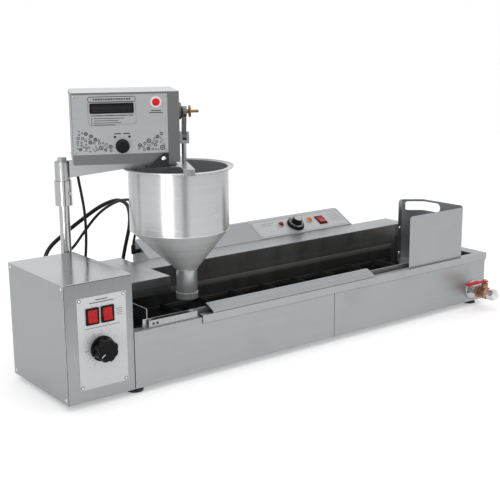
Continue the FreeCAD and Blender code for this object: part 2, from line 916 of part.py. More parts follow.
def thermostat_probe():
    """Probe bulb clipped to the tank wall, and its capillary to the control box."""
    wall = TANK_BACK - S.tank_wall
    y = wall - 3 * S.probe_radius
    end = S.probe_start + S.probe_length
    bulb = rod((S.probe_start, y, S.probe_height), "x", S.probe_length, S.probe_radius)
    clips = [box((S.probe_start + S.probe_length * share, y, S.probe_height - 1.5 * S.probe_radius),
                 (2 * S.probe_radius, wall - y, 3 * S.probe_radius)) for share in (0.2, 0.7)]
    points = [(end - S.probe_radius, y, S.probe_height), (capillary_at(), y, S.probe_height),
              (capillary_at(), y, S.element_lead_height),
              (capillary_at(), S.fryer_depth + S.capillary_reach, S.element_lead_height)]
    solid, _ = tube_along(points, S.capillary_radius, [2.5 * float(S.probe_radius)] * 2)
    capillary = doc.addObject("Part::Feature", "Capillary")
    capillary.Shape = solid
    return node("thermostat_probe", fuse(bulb, capillary, *clips), CORNER)


# Conveyor

def conveyor_rails():
    """Two side plates that carry the shafts, the front one with a folded hem."""
    floor = TANK_INSIDE_FLOOR + S.gap
    length = RAIL_END - S.rail_start
    front = fuse(box((S.rail_start, S.front_rail_at, floor),
                     (length, S.rail_sheet, S.front_rail_top - floor)),
                 box((S.rail_start, S.front_rail_at, S.front_rail_top - S.rail_sheet),
                     (length, S.rail_hem, S.rail_sheet)))
    rear = box((S.rail_start, S.rear_rail_at, floor),
               (length, S.rail_sheet, S.rear_rail_top - floor))
    notch = 3 * S.element_radius
    notches = [box((at - notch / 2, S.rear_rail_at - S.gap, S.chain_height - notch / 2),
                   (notch, S.rail_sheet + 2 * S.gap, 1.6 * notch)) for at in element_ends()]
    holes = [rod((at, 0, S.chain_height), "y", S.fryer_depth, S.bush_radius)
             for at in (S.drive_shaft_at, IDLER_AT)]
    return node("conveyor_rails", cut(together(front, rear), *holes, *notches), CORNER)


def shaft_bearings():
    """Flanged bushes in both rails, and the sealed bush in the tank wall."""
    places = [(S.drive_shaft_at, TANK_FRONT, S.tank_wall)]
    for at in (S.drive_shaft_at, IDLER_AT):
        places.append((at, S.front_rail_at, S.rail_sheet))
        places.append((at, S.rear_rail_at, S.rail_sheet))
    bushes = []
    for x, y, wall in places:
        flange = S.bush_length / 2 - wall / 2
        bush = fuse(rod((x, y - flange, S.chain_height), "y", S.bush_length, S.bush_radius),
                    rod((x, y - flange, S.chain_height), "y", flange, S.bush_radius * 1.25))
        bore = rod((x, y - S.bush_length, S.chain_height), "y", 3 * S.bush_length,
                   S.shaft_radius + S.running_fit)
        bushes.append(cut(bush, bore))
    return node("shaft_bearings", together(*bushes), CORNER)


def sprocket(y):
    """Toothed disc centred on a shaft that runs along Y."""
    tip = S.sprocket_radius + S.tooth_height
    root = S.sprocket_radius - S.tooth_height
    body = new_body()
    disc = new_sketch(body, "XY")
    circle(disc, (0, 0), tip)
    pad(body, disc, S.sprocket_width)
    gap = new_sketch(body, "XY")
    half_root = S.tooth_height * 0.8
    half_tip = S.tooth_height * 1.6
    polygon(gap, [(root, -half_root), (tip + 1, -half_tip), (tip + 1, half_tip),
                  (root, half_root)])
    notch = pocket(body, gap, S.sprocket_width, along_normal=True)
    doc.recompute()
    around(body, notch, gap, TOOTH_COUNT)
    return LOCAL.place(body, (0, y - HALF_SPROCKET, 0), TURNS["y"])


def drive_shaft():
    """Driven shaft: outer drive sprocket and two conveyor sprockets on one axle."""
    start = S.drive_chain_at - HALF_SPROCKET
    end = S.rear_rail_at + S.bush_length
    axle = rod((0, start, 0), "y", end - start, S.shaft_radius)
    wheels = [sprocket(y) for y in (S.drive_chain_at, S.front_chain_at, S.rear_chain_at)]
    shaft = CORNER.place(fuse(axle, *wheels), (S.drive_shaft_at, 0, S.chain_height))
    return node("drive_shaft", shaft)


def idler_shaft():
    """Return shaft with two conveyor sprockets."""
    start = S.front_rail_at - S.bush_length
    end = S.rear_rail_at + S.bush_length
    axle = rod((0, start, 0), "y", end - start, S.shaft_radius)
    wheels = [sprocket(y) for y in (S.front_chain_at, S.rear_chain_at)]
    shaft = CORNER.place(fuse(axle, *wheels), (IDLER_AT, 0, S.chain_height))
    return node("idler_shaft", shaft)


def strand(start, end, y, width, radius):
    """A solid with two round ends, as long as a chain loop."""
    z = S.chain_height
    return [box((start, y, z - radius), (end - start, width, 2 * radius)),
            rod((start, y, z), "y", width, radius), rod((end, y, z), "y", width, radius)]


def chain(start, end, y, pins_at):
    """One chain: side plates on both sides of its sprockets, tied by pins."""
    outer = S.sprocket_radius + S.chain_depth / 2
    inner = S.sprocket_radius - S.chain_depth / 2
    sides = [cut(fuse(*strand(start, end, side, S.chain_plate, outer)),
                 *strand(start, end, side, S.chain_plate, inner))
             for side in (y - CHAIN_HALF, y + HALF_SPROCKET + S.gap)]
    pins = [rod((x, y - CHAIN_HALF, S.chain_height + run), "y", 2 * CHAIN_HALF,
                S.chain_pin_radius)
            for x in pins_at for run in (-S.sprocket_radius, S.sprocket_radius)]
    return fuse(*sides, *pins)


def flight_places():
    spacing = (IDLER_AT - S.drive_shaft_at) / FLIGHT_COUNT
    return [S.drive_shaft_at + spacing * (i + 0.5) for i in range(FLIGHT_COUNT)]


def chains():
    """Both conveyor chains, and the drive chain from the gear motor."""
    motor_x = motor_shaft_at()
    middle = (motor_x + S.drive_shaft_at) / 2
    pins = [middle - S.sprocket_radius, middle + S.sprocket_radius]
    pieces = [chain(motor_x, S.drive_shaft_at, S.drive_chain_at, pins)]
    for y in (S.front_chain_at, S.rear_chain_at):
        pieces.append(chain(S.drive_shaft_at, IDLER_AT, y, flight_places()))
    return node("chains", together(*pieces), CORNER)


def motor_shaft_at():
    return S.motor_left - S.box_width - S.box_gap


def flights():
    """Cross bars between the chains that push the donuts along."""
    start = S.front_chain_at + CHAIN_HALF
    width = S.rear_chain_at - CHAIN_HALF - start
    height = S.flight_height + S.chain_depth / 2
    upper = S.chain_height + S.sprocket_radius - S.chain_depth / 2
    lower = S.chain_height - S.sprocket_radius - S.flight_height
    bars = [box((x - S.sheet / 2, start, z), (S.sheet, width, height))
            for x in flight_places() for z in (upper, lower)]
    return node("flights", together(*bars), CORNER)


def conveyor_end_plate():
    """Upright end plate with a front ear, and the open chute in front of the rail."""
    x = S.rail_start - S.gap - S.rail_sheet
    plate = box((x, S.end_plate_front, S.front_height),
                (S.rail_sheet, S.end_plate_back - S.end_plate_front,
                 S.rear_rim_height - S.front_height))
    ear = box((x - S.end_plate_ear, S.end_plate_front, S.front_height),
              (S.end_plate_ear, S.rail_sheet, S.end_plate_ear_top - S.front_height))
    start = x + S.rail_sheet
    depth = S.chute_back - S.chute_front
    trough = box((start, S.chute_front, S.front_height),
                 (S.chute_length, depth, S.chute_top - S.front_height))
    space = box((start - S.gap, S.chute_front + S.sheet, S.front_height + S.sheet),
                (S.chute_length + 2 * S.gap, depth - 2 * S.sheet, S.chute_top))
    side = S.chute_front / 1.2
    holes = [box((start + offset, S.chute_front - S.gap, S.front_height + side),
                 (side, S.sheet + 2 * S.gap, side)) for offset in (side * 1.6, side * 3.4)]
    return node("conveyor_end_plate", fuse(plate, ear, cut(trough, space, *holes)), CORNER)


# Deck and drive box

def rear_deck():
    """Flanged deck plate behind the drive box, which carries the post's foot."""
    tab_front = S.box_depth + S.gap
    top = S.rear_rim_height
    outline = [(0, S.deck_front), (S.deck_length, S.deck_front), (S.deck_length, S.deck_back),
               (0, S.deck_back), (0, S.deck_tab_back), (-S.deck_tab, S.deck_tab_back),
               (-S.deck_tab, tab_front), (0, tab_front)]
    plate = prism("XY", outline, top, S.sheet)
    front = box((0, S.deck_front, top - S.deck_front_drop),
                (S.deck_length, S.sheet, S.deck_front_drop))
    side = box((S.deck_length - S.sheet, S.deck_front, top - S.deck_drop),
               (S.sheet, TANK_BACK - S.tank_wall - S.gap - S.deck_front, S.deck_drop))
    back = box((0, S.deck_back - S.sheet, top - S.deck_drop),
               (S.deck_length, S.sheet, S.deck_drop))
    return node("rear_deck", fuse(plate, front, side, back), CORNER)


def drive_box_shell():
    """Open-topped drive box with holes for its switches, spindle and chain."""
    height = S.box_height - S.sheet
    outside = box((0, 0, 0), (S.box_width, S.box_depth, height))
    inside = box((S.sheet, S.sheet, S.sheet),
                 (S.box_width - 2 * S.sheet, S.box_depth - 2 * S.sheet, height))
    chain_side = box((S.box_width - 2 * S.sheet, S.drive_chain_at - CHAIN_HALF - 1,
                      S.chain_height - S.sprocket_radius - S.chain_depth),
                     (4 * S.sheet, 2 * CHAIN_HALF + 2,
                      2 * (S.sprocket_radius + S.chain_depth)))
    spindle = rod((S.speed_knob_at, -S.sheet, S.speed_knob_up), "y", 3 * S.sheet,
                  S.spindle_radius + S.gap)
    shell = cut(outside, inside, chain_side, spindle, *box_switch_holes(-S.sheet, 3 * S.sheet))
    return node("drive_box_shell", shell, BOX_CORNER)


def box_switch_holes(start, depth):
    """Blocks that clear both switch bodies, in the drive box's corner coordinates."""
    width = S.switch_width - 2 * S.switch_rim
    height = S.switch_height - 2 * S.switch_rim
    return [box((at - width / 2, start, S.switches_up - height / 2), (width, depth, height))
            for at in (S.left_switch_at, S.right_switch_at)]


def drive_box_lid():
    """Flat lid with a drop rim that locates inside the shell."""
    inset = S.sheet + S.gap
    low = S.box_height - S.sheet - S.lid_drop
    plate = box((0, 0, S.box_height - S.sheet), (S.box_width, S.box_depth, S.sheet))
    rim = box((inset, inset, low), (S.box_width - 2 * inset, S.box_depth - 2 * inset, S.lid_drop))
    inner = inset + S.sheet
    space = box((inner, inner, low - S.gap),
                (S.box_width - 2 * inner, S.box_depth - 2 * inner, S.lid_drop + S.gap))
    return node("drive_box_lid", fuse(plate, cut(rim, space)), BOX_CORNER)


def drive_box_label():
    """Front plate of the drive box, behind the switches and the knob."""
    plate = box((S.box_label_left, -S.label_sheet, S.box_label_bottom),
                (S.box_label_width, S.label_sheet, S.box_label_height))
    spindle = rod((S.speed_knob_at, -S.sheet, S.speed_knob_up), "y", 3 * S.sheet,
                  S.spindle_radius + S.gap)
    label = cut(plate, spindle, *box_switch_holes(-S.sheet, 3 * S.sheet))
    return node("drive_box_label", label, BOX_CORNER)


def switch_housing():
    """Rocker switch body: a rim on the panel, a body behind it and an open well."""
    rim_width = S.switch_width
    rim_height = S.switch_height
    width = rim_width - 2 * S.switch_rim - 2 * S.gap
    height = rim_height - 2 * S.switch_rim - 2 * S.gap
    rim = box((-rim_width / 2, -rim_height / 2, 0), (rim_width, rim_height, S.switch_rim))
    body = box((-width / 2, -height / 2, -S.switch_depth), (width, height, S.switch_depth))
    well_width = S.rocker_width + 2 * S.gap
    well_height = S.rocker_height + 4 * S.gap
    well = box((-well_width / 2, -well_height / 2, -3 * S.switch_rim),
               (well_width, well_height, 4 * S.switch_rim))
    pivot = rod((-width / 2, 0, 0), "x", width, S.pivot_radius + S.running_fit)
    return cut(fuse(rim, body), well, pivot)


def switch_places():
    """Each switch's frame, and the point where its rim meets the panel."""
    return [(BOX_FRONT, (S.left_switch_at, S.switches_up, S.label_sheet)),
            (BOX_FRONT, (S.right_switch_at, S.switches_up, S.label_sheet)),
            (SLOPE, (REAR_SWITCH_AT, S.rear_switch_up, S.label_sheet))]


def switch_housings():
    """The three identical switch bodies."""
    pieces = [frame.place(switch_housing(), at) for frame, at in switch_places()]
    return node("switch_housings", together(*pieces))


def rocker(name, frame, at):
    """Rocker cap with a dished face and pivot pins, tilted to its off position."""
    half = S.rocker_height / 2
    low = -1.2 * S.switch_rim
    high = 1.7 * S.switch_rim
    cap = prism("YZ", [(-half, low), (half, low), (half, high), (0, high * 0.62),
                       (-half, high)], -S.rocker_width / 2, S.rocker_width)
    reach = S.rocker_width / 2 + S.gap + S.pivot_reach
    pins = rod((-reach, 0, 0), "x", 2 * reach, S.pivot_radius)
    off = FreeCAD.Rotation(V(1, 0, 0), -float(S.rocker_tilt))
    return node(name, frame.place(fuse(cap, pins), at, off))


def rockers():
    names = ("rocker_left", "rocker_right", "rear_rocker")
    return [rocker(name, frame, at) for name, (frame, at) in zip(names, switch_places())]


def speed_knob():
    """Lobed control knob above a round skirt, with its spindle."""
    skirt = S.speed_knob_radius
    grip = S.speed_grip_radius
    neck = grip * 0.8
    height = S.speed_knob_height
    knob = turned([(0, 0), (skirt, 0), (skirt, height * 0.12), (neck, height * 0.2),
                   (neck, height * 0.3), (grip, height * 0.36), (grip, height * 0.9),
                   (grip * 0.92, height), (0, height)])
    flute = new_sketch(knob, "XY", height * 0.26)
    circle(flute, (grip * 1.16, 0), grip * 0.3)
    groove = pocket(knob, flute, height, along_normal=True)
    doc.recompute()
    around(knob, groove, flute, GRIP_LOBES)
    spindle = rod((0, 0, -S.switch_depth), "z", S.switch_depth, S.spindle_radius)
    at = (S.speed_knob_at, S.speed_knob_up, S.label_sheet + S.gap)
    return node("speed_knob", BOX_FRONT.place(fuse(knob, spindle), at))


def gear_motor():
    """Gear motor on a foot in the drive box, with the bore that takes the sprocket shaft."""
    half = S.motor_width / 2
    start = S.drive_chain_at + 2 * CHAIN_HALF
    gearbox = box((S.motor_left - half, start, S.sheet),
                  (S.motor_width, S.gearbox_length, S.chain_height + half - S.sheet))
    motor = rod((S.motor_left, start + S.gearbox_length, S.chain_height), "y",
                S.motor_length, S.motor_radius)
    bore = rod((S.motor_left, start - S.gap, S.chain_height), "y", S.gearbox_length / 2,
               S.shaft_radius + S.running_fit)
    foot = box((S.motor_left - half * 1.4, start, S.sheet),
               (half * 2.8, S.gearbox_length, 3 * S.sheet))
    return node("gear_motor", cut(fuse(gearbox, motor, foot), bore), BOX_CORNER)


def motor_sprocket():
    """Sprocket and stub shaft on the gear motor."""
    start = S.drive_chain_at - HALF_SPROCKET
    reach = 2 * CHAIN_HALF + HALF_SPROCKET + S.gearbox_length / 2 - 2 * S.gap
    stub = rod((0, start, 0), "y", reach, S.shaft_radius)
    wheel = fuse(stub, sprocket(S.drive_chain_at))
    return node("motor_sprocket", BOX_CORNER.place(wheel, (S.motor_left, 0, S.chain_height)))


# Rear control box

def control_outline(inset):
    """Section of the control box across its length, set in by a wall thickness."""
    front = CONTROL_FRONT + inset
    ridge_y = CONTROL_FRONT + S.slope_length * SLOPE_COS
    ridge_z = SLOPE_FOOT + S.slope_length * SLOPE_SIN - inset
    back = ridge_y + S.control_ridge - inset
    slope_drop = inset * (1 - SLOPE_SIN) / SLOPE_COS
    return [(front, S.control_bottom + inset), (back, S.control_bottom + inset),
            (back, ridge_z), (ridge_y + inset * (1 - SLOPE_COS) / SLOPE_SIN, ridge_z),
            (front, SLOPE_FOOT - slope_drop)]


def rear_control_box():
    """Closed sheet housing with a sloped face, hollow inside."""
    length = CONTROL_END - S.control_start
    outside = prism("YZ", control_outline(as_size(0)), S.control_start, length)
    inside = prism("YZ", control_outline(S.sheet), S.control_start + S.sheet,
                   length - 2 * S.sheet)
    leads = element_passages()
    return node("rear_control_box", cut(outside, inside, *leads, *slope_holes()), CORNER)


def slope_holes():
    """Openings through the sloped face for the lamps, the switch and the spindle."""
    face = LOCAL.inner((0, CONTROL_FRONT, SLOPE_FOOT), SLOPE_AXES)
    depth = 4 * S.sheet
    holes = [rod((x, y, -depth / 2), "z", depth, radius, face)
             for x, y, radius in slope_round_holes()]
    width = S.switch_width - 2 * S.switch_rim
    height = S.switch_height - 2 * S.switch_rim
    at = (REAR_SWITCH_AT - width / 2, S.rear_switch_up - height / 2, -depth / 2)
    holes.append(box(at, (width, height, depth), face))
    return holes


def slope_round_holes():
    """Centre and radius of each round hole in the sloped face."""
    lamp = S.lamp_radius * 0.62 + S.gap
    return [(RED_LAMP_AT, S.lamps_up, lamp), (AMBER_LAMP_AT, S.lamps_up, lamp),
            (THERMOSTAT_AT, S.thermostat_up, S.spindle_radius + S.gap)]


def rear_label():
    """Plate on the sloped face, pierced for the controls."""
    plate = box((PLATE_START, S.plate_margin, 0),
                (S.plate_length - S.sheet, S.slope_length - 2 * S.plate_margin, S.label_sheet))
    holes = [rod((x, y, -S.sheet), "z", 3 * S.sheet, radius)
             for x, y, radius in slope_round_holes()]
    width = S.switch_width - 2 * S.switch_rim
    height = S.switch_height - 2 * S.switch_rim
    holes.append(box((REAR_SWITCH_AT - width / 2, S.rear_switch_up - height / 2, -S.sheet),
                     (width, height, 3 * S.sheet)))
    return node("rear_label", cut(plate, *holes), SLOPE)


def lamp(name, at):
    """Indicator lamp: a chromed rim with a domed lens on a round body."""
    rim = S.lamp_radius
    neck = rim * 0.62
    body = turned([(0, -rim * 1.4), (neck, -rim * 1.4), (neck, 0), (rim, 0), (rim, rim * 0.25),
                   (rim * 0.8, rim * 0.42), (rim * 0.72, rim * 0.8), (rim * 0.4, rim),
                   (0, rim * 1.05)])
    return node(name, SLOPE.place(body, (at, S.lamps_up, S.label_sheet)))


def thermostat_knob():
    """Thermostat knob: a fluted skirt under a tall round grip."""
    dial = S.thermostat_radius
    grip = S.thermostat_grip_radius
    height = S.thermostat_height
    skirt = height * 0.12
    knob = turned([(0, 0), (dial, 0), (dial, skirt), (dial * 0.93, height * 0.3),
                   (grip * 1.05, height * 0.4), (grip * 0.94, height), (0, height)])
    flute = new_sketch(knob, "XY", skirt)
    circle(flute, (dial * 1.03, 0), dial * 0.14)
    groove = pocket(knob, flute, height * 0.3, along_normal=True)
    doc.recompute()
    around(knob, groove, flute, DIAL_FLUTES)
    spindle = rod((0, 0, -S.switch_depth), "z", S.switch_depth, S.spindle_radius)
    at = (THERMOSTAT_AT, S.thermostat_up, S.label_sheet + S.gap)
    return node("thermostat_knob", SLOPE.place(fuse(knob, spindle), at))


# Drain and ball valve

def drain_frame():
    return FRONT.inner((DRAIN_AT, S.drain_height, 0), BACK_TO_UP)


def drain_flange():
    """Drain pipe through panel and tank wall, with its outer flange."""
    inside = TANK_FRONT + S.tank_wall
    flange = turned([(S.bore_radius, -inside), (S.pipe_radius, -inside), (S.pipe_radius, 0),
                     (S.flange_radius, 0), (S.flange_radius, S.flange_thickness * 0.6),
                     (S.flange_radius - S.flange_thickness * 0.5, S.flange_thickness),
                     (S.pipe_radius, S.flange_thickness), (S.pipe_radius, S.valve_start),
                     (S.bore_radius, S.valve_start)])
    return node("drain_flange", flange, drain_frame())


def valve_end():
    return 2 * S.valve_stem_at - S.valve_start - S.valve_ball_radius / 2


def valve_body():
    """Ball valve: hexagon inlet, round ball chamber and stem boss."""
    ball = S.valve_ball_radius
    middle = S.valve_stem_at
    inlet = hex_bar((0, 0, S.valve_start), "z", ball * 0.6, S.valve_hex)
    chamber = turned([(0, S.valve_start), (ball * 0.72, S.valve_start),
                      (ball * 0.72, middle - ball * 0.95), (ball, middle - ball * 0.55),
                      (ball, middle + ball * 0.55), (ball * 0.72, middle + ball * 0.95),
                      (ball * 0.72, valve_end()), (0, valve_end())])
    boss = rod((0, 0, middle), "y", S.stem_height - S.lever_sheet * 3, S.stem_radius * 2)
    boss.Placement.Rotation = TURNS["y"]
    bore = rod((0, ball * 0.8, middle), "y", S.stem_height, S.stem_radius + S.running_fit)
    return node("valve_body", cut(fuse(inlet, chamber, boss), bore), drain_frame())


def valve_cap():
    """Closed hexagon cap on the valve's outlet, with a bevelled end."""
    start = valve_end()
    flats = hex_bar((0, 0, start), "z", S.cap_length, S.cap_hex)
    bevel = S.cap_length * 0.15
    corner = S.cap_hex * 0.58
    envelope = turned([(0, start), (corner, start), (corner, start + S.cap_length - bevel),
                       (corner - bevel, start + S.cap_length), (0, start + S.cap_length)])
    cap = doc.addObject("Part::Common", "Cap")
    cap.Base = flats
    cap.Tool = envelope
    return node("valve_cap", cap, drain_frame())


def valve_lever():
    """Cranked strip handle on the valve's stem, with its nut."""
    up = S.stem_height - S.lever_sheet * 2
    t = S.lever_sheet
    rise = S.lever_sheet * 1.5
    length = S.lever_length
    outline = [(S.lever_width / 2, up), (-length * 0.28, up), (-length * 0.4, up + rise),
               (-length, up + rise * 0.4), (-length, up + rise * 0.4 + t),
               (-length * 0.39, up + rise + t), (-length * 0.26, up + t),
               (S.lever_width / 2, up + t)]
    strip = prism("XY", outline, -S.lever_width / 2, S.lever_width)
    stem_start = S.valve_ball_radius * 0.8 + S.gap
    stem = rod((0, stem_start, 0), "y", S.stem_height - stem_start, S.stem_radius)
    nut = hex_bar((0, up + t, 0), "y", S.stem_height - up - t, S.stem_radius * 2.6)
    lever = fuse(strip, stem, nut)
    return node("valve_lever", drain_frame().place(lever, (0, 0, S.valve_stem_at)))


# Unloading tray

def tray_corners():
    """Plan of the tray's wall, from the front plate round to the rear flange."""
    a = (TRAY_START, S.tray_front)
    b = (a[0] + S.tray_length, a[1])
    c = (b[0] + S.tray_corner, b[1] + S.tray_corner)
    d = (c[0] - S.tray_lean, c[1] + S.tray_side)
    e = (d[0] - S.tray_back_run, d[1] + S.tray_back_rise)
    f = (e[0] - S.tray_flange, e[1])
    return [a, b, c, d, e, f]


def unloading_tray():
    """Lift-out tray: folded guard over a pierced floor, open towards the conveyor."""
    corners = tray_corners()
    a, f = corners[0], corners[-1]
    shell = prism("XY", corners, S.tray_bottom, S.tray_top - S.tray_bottom)
    open_at = (float(a[0] + f[0]) / 2, float(a[1] + f[1]) / 2)
    hollow(shell, lambda face: near(face.CenterOfMass.z, S.tray_top)
           or (near(face.CenterOfMass.x, open_at[0]) and near(face.CenterOfMass.y, open_at[1])),
           S.tray_sheet)
    rail_back = S.front_rail_at + S.rail_hem + S.gap
    front_clear = box((TRAY_START - 1, 0, 0),
                      (S.tray_length + 2 * S.tray_corner, rail_back, S.lip_height + S.gap))
    tray = cut(shell, front_clear, round_corner(a), round_corner(f), *hand_slot(),
               *floor_holes())
    return node("unloading_tray", tray, CORNER)


def round_corner(at):
    """What rounding takes off the wall's upper corner at one end of the tray."""
    radius = S.tray_rounding
    x, y = at
    depth = 6 * S.tray_sheet
    block = box((x - 1, y - depth / 2, S.tray_top - radius), (radius + 1, depth, radius + 1))
    return cut(block, rod((x + radius, y - depth / 2, S.tray_top - radius), "y", depth, radius))


def hand_slot():
    """Round-ended slot that runs through both rear walls of the tray."""
    _, _, c, d, e, _ = tray_corners()
    radius = S.slot_height / 2
    middle = S.slot_bottom + radius
    start = [e[i] + (d[i] - e[i]) * 0.3 for i in range(2)]
    end = [d[i] + (c[i] - d[i]) * 0.36 for i in range(2)]
    reach = 3 * S.tray_sheet
    band = prism("XY", [(start[0] + reach * 0.64, start[1] + reach * 0.77),
                        (d[0] + reach, d[1] + reach * 0.5), (end[0] + reach, end[1]),
                        (end[0] - reach, end[1]), (d[0] - reach, d[1] - reach * 0.5),
                        (start[0] - reach * 0.64, start[1] - reach * 0.77)],
                 S.slot_bottom, S.slot_height)
    right_end = rod((end[0] - reach, end[1], middle), "x", 2 * reach, radius)
    left_end = rod((start[0], start[1] - reach, middle), "y", 2 * reach, radius)
    return [band, right_end, left_end]


def floor_holes():
    """Drip holes in the tray's floor."""
    _, _, c, d, e, _ = tray_corners()
    pitch = 3.5 * S.drain_hole_radius
    return [rod((e[0] - pitch * (column - 0.4), S.front_rail_at + pitch * (row + 1), 0), "z",
                S.tray_bottom + 2 * S.tray_sheet, S.drain_hole_radius)
            for row in range(3) for column in range(3)]


# Post and head arm

def post():
    """Round post on the deck, with a foot flange."""
    tube = turned([(0, DECK_TOP), (S.post_foot_radius, DECK_TOP),
                   (S.post_foot_radius, DECK_TOP + S.post_foot_height),
                   (S.post_radius, DECK_TOP + S.post_foot_height), (S.post_radius, S.hub_top),
                   (0, S.hub_top)])
    return node("post", tube, HEAD)


def post_bore(start, length):
    return rod((0, 0, start), "z", length, S.post_radius + S.running_fit)


def height_collar():
    """Split clamp collar that sets the head's height, with its pinch bolt."""
    height = S.hub_bottom - S.collar_bottom - S.gap
    bottom = S.collar_bottom
    ring = rod((0, 0, bottom), "z", height, S.collar_radius)
    slit = box((0, -S.sheet, bottom), (2 * S.collar_radius, 2 * S.sheet, height))
    bolt = rod((S.collar_radius * 0.8, -S.collar_radius * 0.9, bottom + height / 2), "y",
               S.collar_radius * 1.8, S.spindle_radius)
    collar = fuse(cut(ring, slit), bolt)
    return node("height_collar", cut(collar, post_bore(bottom - 1, height + 2)), HEAD)


def post_fixings():
    """Two saddles that hold the post to the drive box, and the bolt over the hub."""
    depth = 2 * (POST_Y - S.box_depth)
    saddles = []
    for share in (0.3, 0.8):
        z = DECK_TOP + (S.box_height - DECK_TOP) * share - S.saddle_height / 2
        block = box((S.post_x - S.saddle_width / 2, S.box_depth, z),
                    (S.saddle_width, depth, S.saddle_height))
        hole = rod((S.post_x, POST_Y, z - 1), "z", S.saddle_height + 2,
                   S.post_radius + S.running_fit)
        saddles.append(cut(block, hole))
    washer = rod((S.post_x, POST_Y, S.hub_top), "z", S.sheet * 1.7, S.washer_radius)
    head = hex_bar((S.post_x, POST_Y, S.hub_top + S.sheet * 1.7), "z", S.bolt_head, S.bolt_hex)
    return node("post_fixings", together(*saddles, fuse(washer, head)), CORNER)


def head_arm():
    """Hub on the post with a tapered, channel-shaped arm under the head case."""
    top = S.case_bottom
    flat = S.hopper_top + S.gap
    end = S.hanger_start
    hub = rod((0, 0, S.hub_bottom), "z", S.hub_top - S.gap - S.hub_bottom, S.hub_radius)
    half = S.arm_width / 2
    beam = prism("XZ", [(S.arm_start, S.arm_root_bottom), (S.arm_taper_end, flat), (end, flat),
                        (end, top), (S.arm_start, top)], -half, S.arm_width)
    space = box((S.case_start, -half + S.arm_wall, S.hub_bottom - 1),
                (end - S.arm_wall - S.case_start, S.arm_width - 2 * S.arm_wall,
                 top - S.arm_wall - S.hub_bottom + 1))
    bore = post_bore(S.hub_bottom - 1, S.hub_top - S.hub_bottom + 2)
    return node("head_arm", cut(fuse(hub, beam), space, bore), HEAD)


# Head case

def head_case():
    """Closed case of the doser, hollow, with the gland for its cord below."""
    wall = S.sheet
    outside = box((S.case_start, -S.case_depth / 2, S.case_bottom),
                  (S.case_length, S.case_depth, S.case_height))
    inside = box((S.case_start + wall, -S.case_depth / 2 + wall, S.case_bottom + wall),
                 (S.case_length - 2 * wall, S.case_depth - 2 * wall, S.case_height - 2 * wall))
    shaft = rod((CASE_END - 2 * wall, 0, CRANK_UP), "x", 4 * wall, S.shaft_radius + S.gap)
    front = -S.case_depth / 2 - wall
    button = rod((S.case_start + S.button_at, front, S.case_bottom + S.button_up), "y", 3 * wall,
                 S.button_radius + S.gap)
    spindle = rod((S.case_start + S.dose_knob_at, front, S.case_bottom + S.dose_knob_up), "y",
                  3 * wall, S.spindle_radius + S.gap)
    gland = rod((S.case_start + S.head_gland_in, S.case_depth * 0.32, S.case_bottom - S.head_gland_drop),
                "z", S.head_gland_drop, S.head_gland_radius)
    return node("head_case", fuse(cut(outside, inside, shaft, button, spindle), gland), HEAD)


def head_label():
    """Front plate of the head with the hole for the button and the dose knob's spindle."""
    plate = box((S.head_label_left, S.head_label_bottom, 0),
                (S.head_label_width, S.head_label_height, S.label_sheet))
    button = rod((S.button_at, S.button_up, -1), "z", 3, S.button_radius + S.gap)
    spindle = rod((S.dose_knob_at, S.dose_knob_up, -1), "z", 3, S.spindle_radius + S.gap)
    return node("head_label", cut(plate, button, spindle), CASE_FRONT)


def display_window():
    """Display window on the head's label."""
    pane = prism("XY", [(0, 0), (S.display_width, 0), (S.display_width, S.display_height),
                        (0, S.display_height)], 0, S.display_proud)
    at = (S.display_left, S.display_bottom, S.label_sheet)
    return node("display_window", CASE_FRONT.place(pane, at))


def push_button():
    """Sprung push button with a domed cap and a collar inside the case."""
    radius = S.button_radius
    proud = S.button_proud
    cap = turned([(0, -2.5 * proud), (radius * 0.5, -2.5 * proud), (radius * 0.5, -1.2 * proud),
                  (radius, -1.2 * proud), (radius, proud * 0.7), (radius * 0.85, proud * 0.9),
                  (0, proud)])
    at = (S.button_at, S.button_up, S.label_sheet)
    return node("push_button", CASE_FRONT.place(cap, at))


def dose_knob():
    """Round dose knob with a stepped rim and its spindle."""
    radius = S.dose_knob_radius
    height = S.dose_knob_height
    knob = turned([(0, 0), (radius, 0), (radius, height * 0.2), (radius * 0.86, height * 0.3),
                   (radius * 0.8, height * 0.9), (radius * 0.7, height), (0, height)])
    spindle = rod((0, 0, -S.switch_depth), "z", S.switch_depth, S.spindle_radius)
    at = (S.dose_knob_at, S.dose_knob_up, S.label_sheet + S.gap)
    return node("dose_knob", CASE_FRONT.place(fuse(knob, spindle), at))


def head_motor():
    """Gear motor in the head that turns the crank, on a foot inside the case."""
    wall = S.sheet
    length = S.crank_shaft_length * 2
    start = CASE_END - wall - length
    width = S.case_depth * 0.45
    bottom = S.case_bottom + wall
    block = box((start, -width / 2, bottom), (length, width, CRANK_UP + width / 3 - bottom))
    can = rod((start - length * 1.2, 0, CRANK_UP), "x", length * 1.2, width * 0.35)
    bore = rod((CASE_END - S.crank_shaft_length - wall, 0, CRANK_UP), "x",
               S.crank_shaft_length + wall, S.shaft_radius + S.running_fit)
    return node("head_motor", cut(fuse(block, can), bore), HEAD)


# Hopper and its hanger

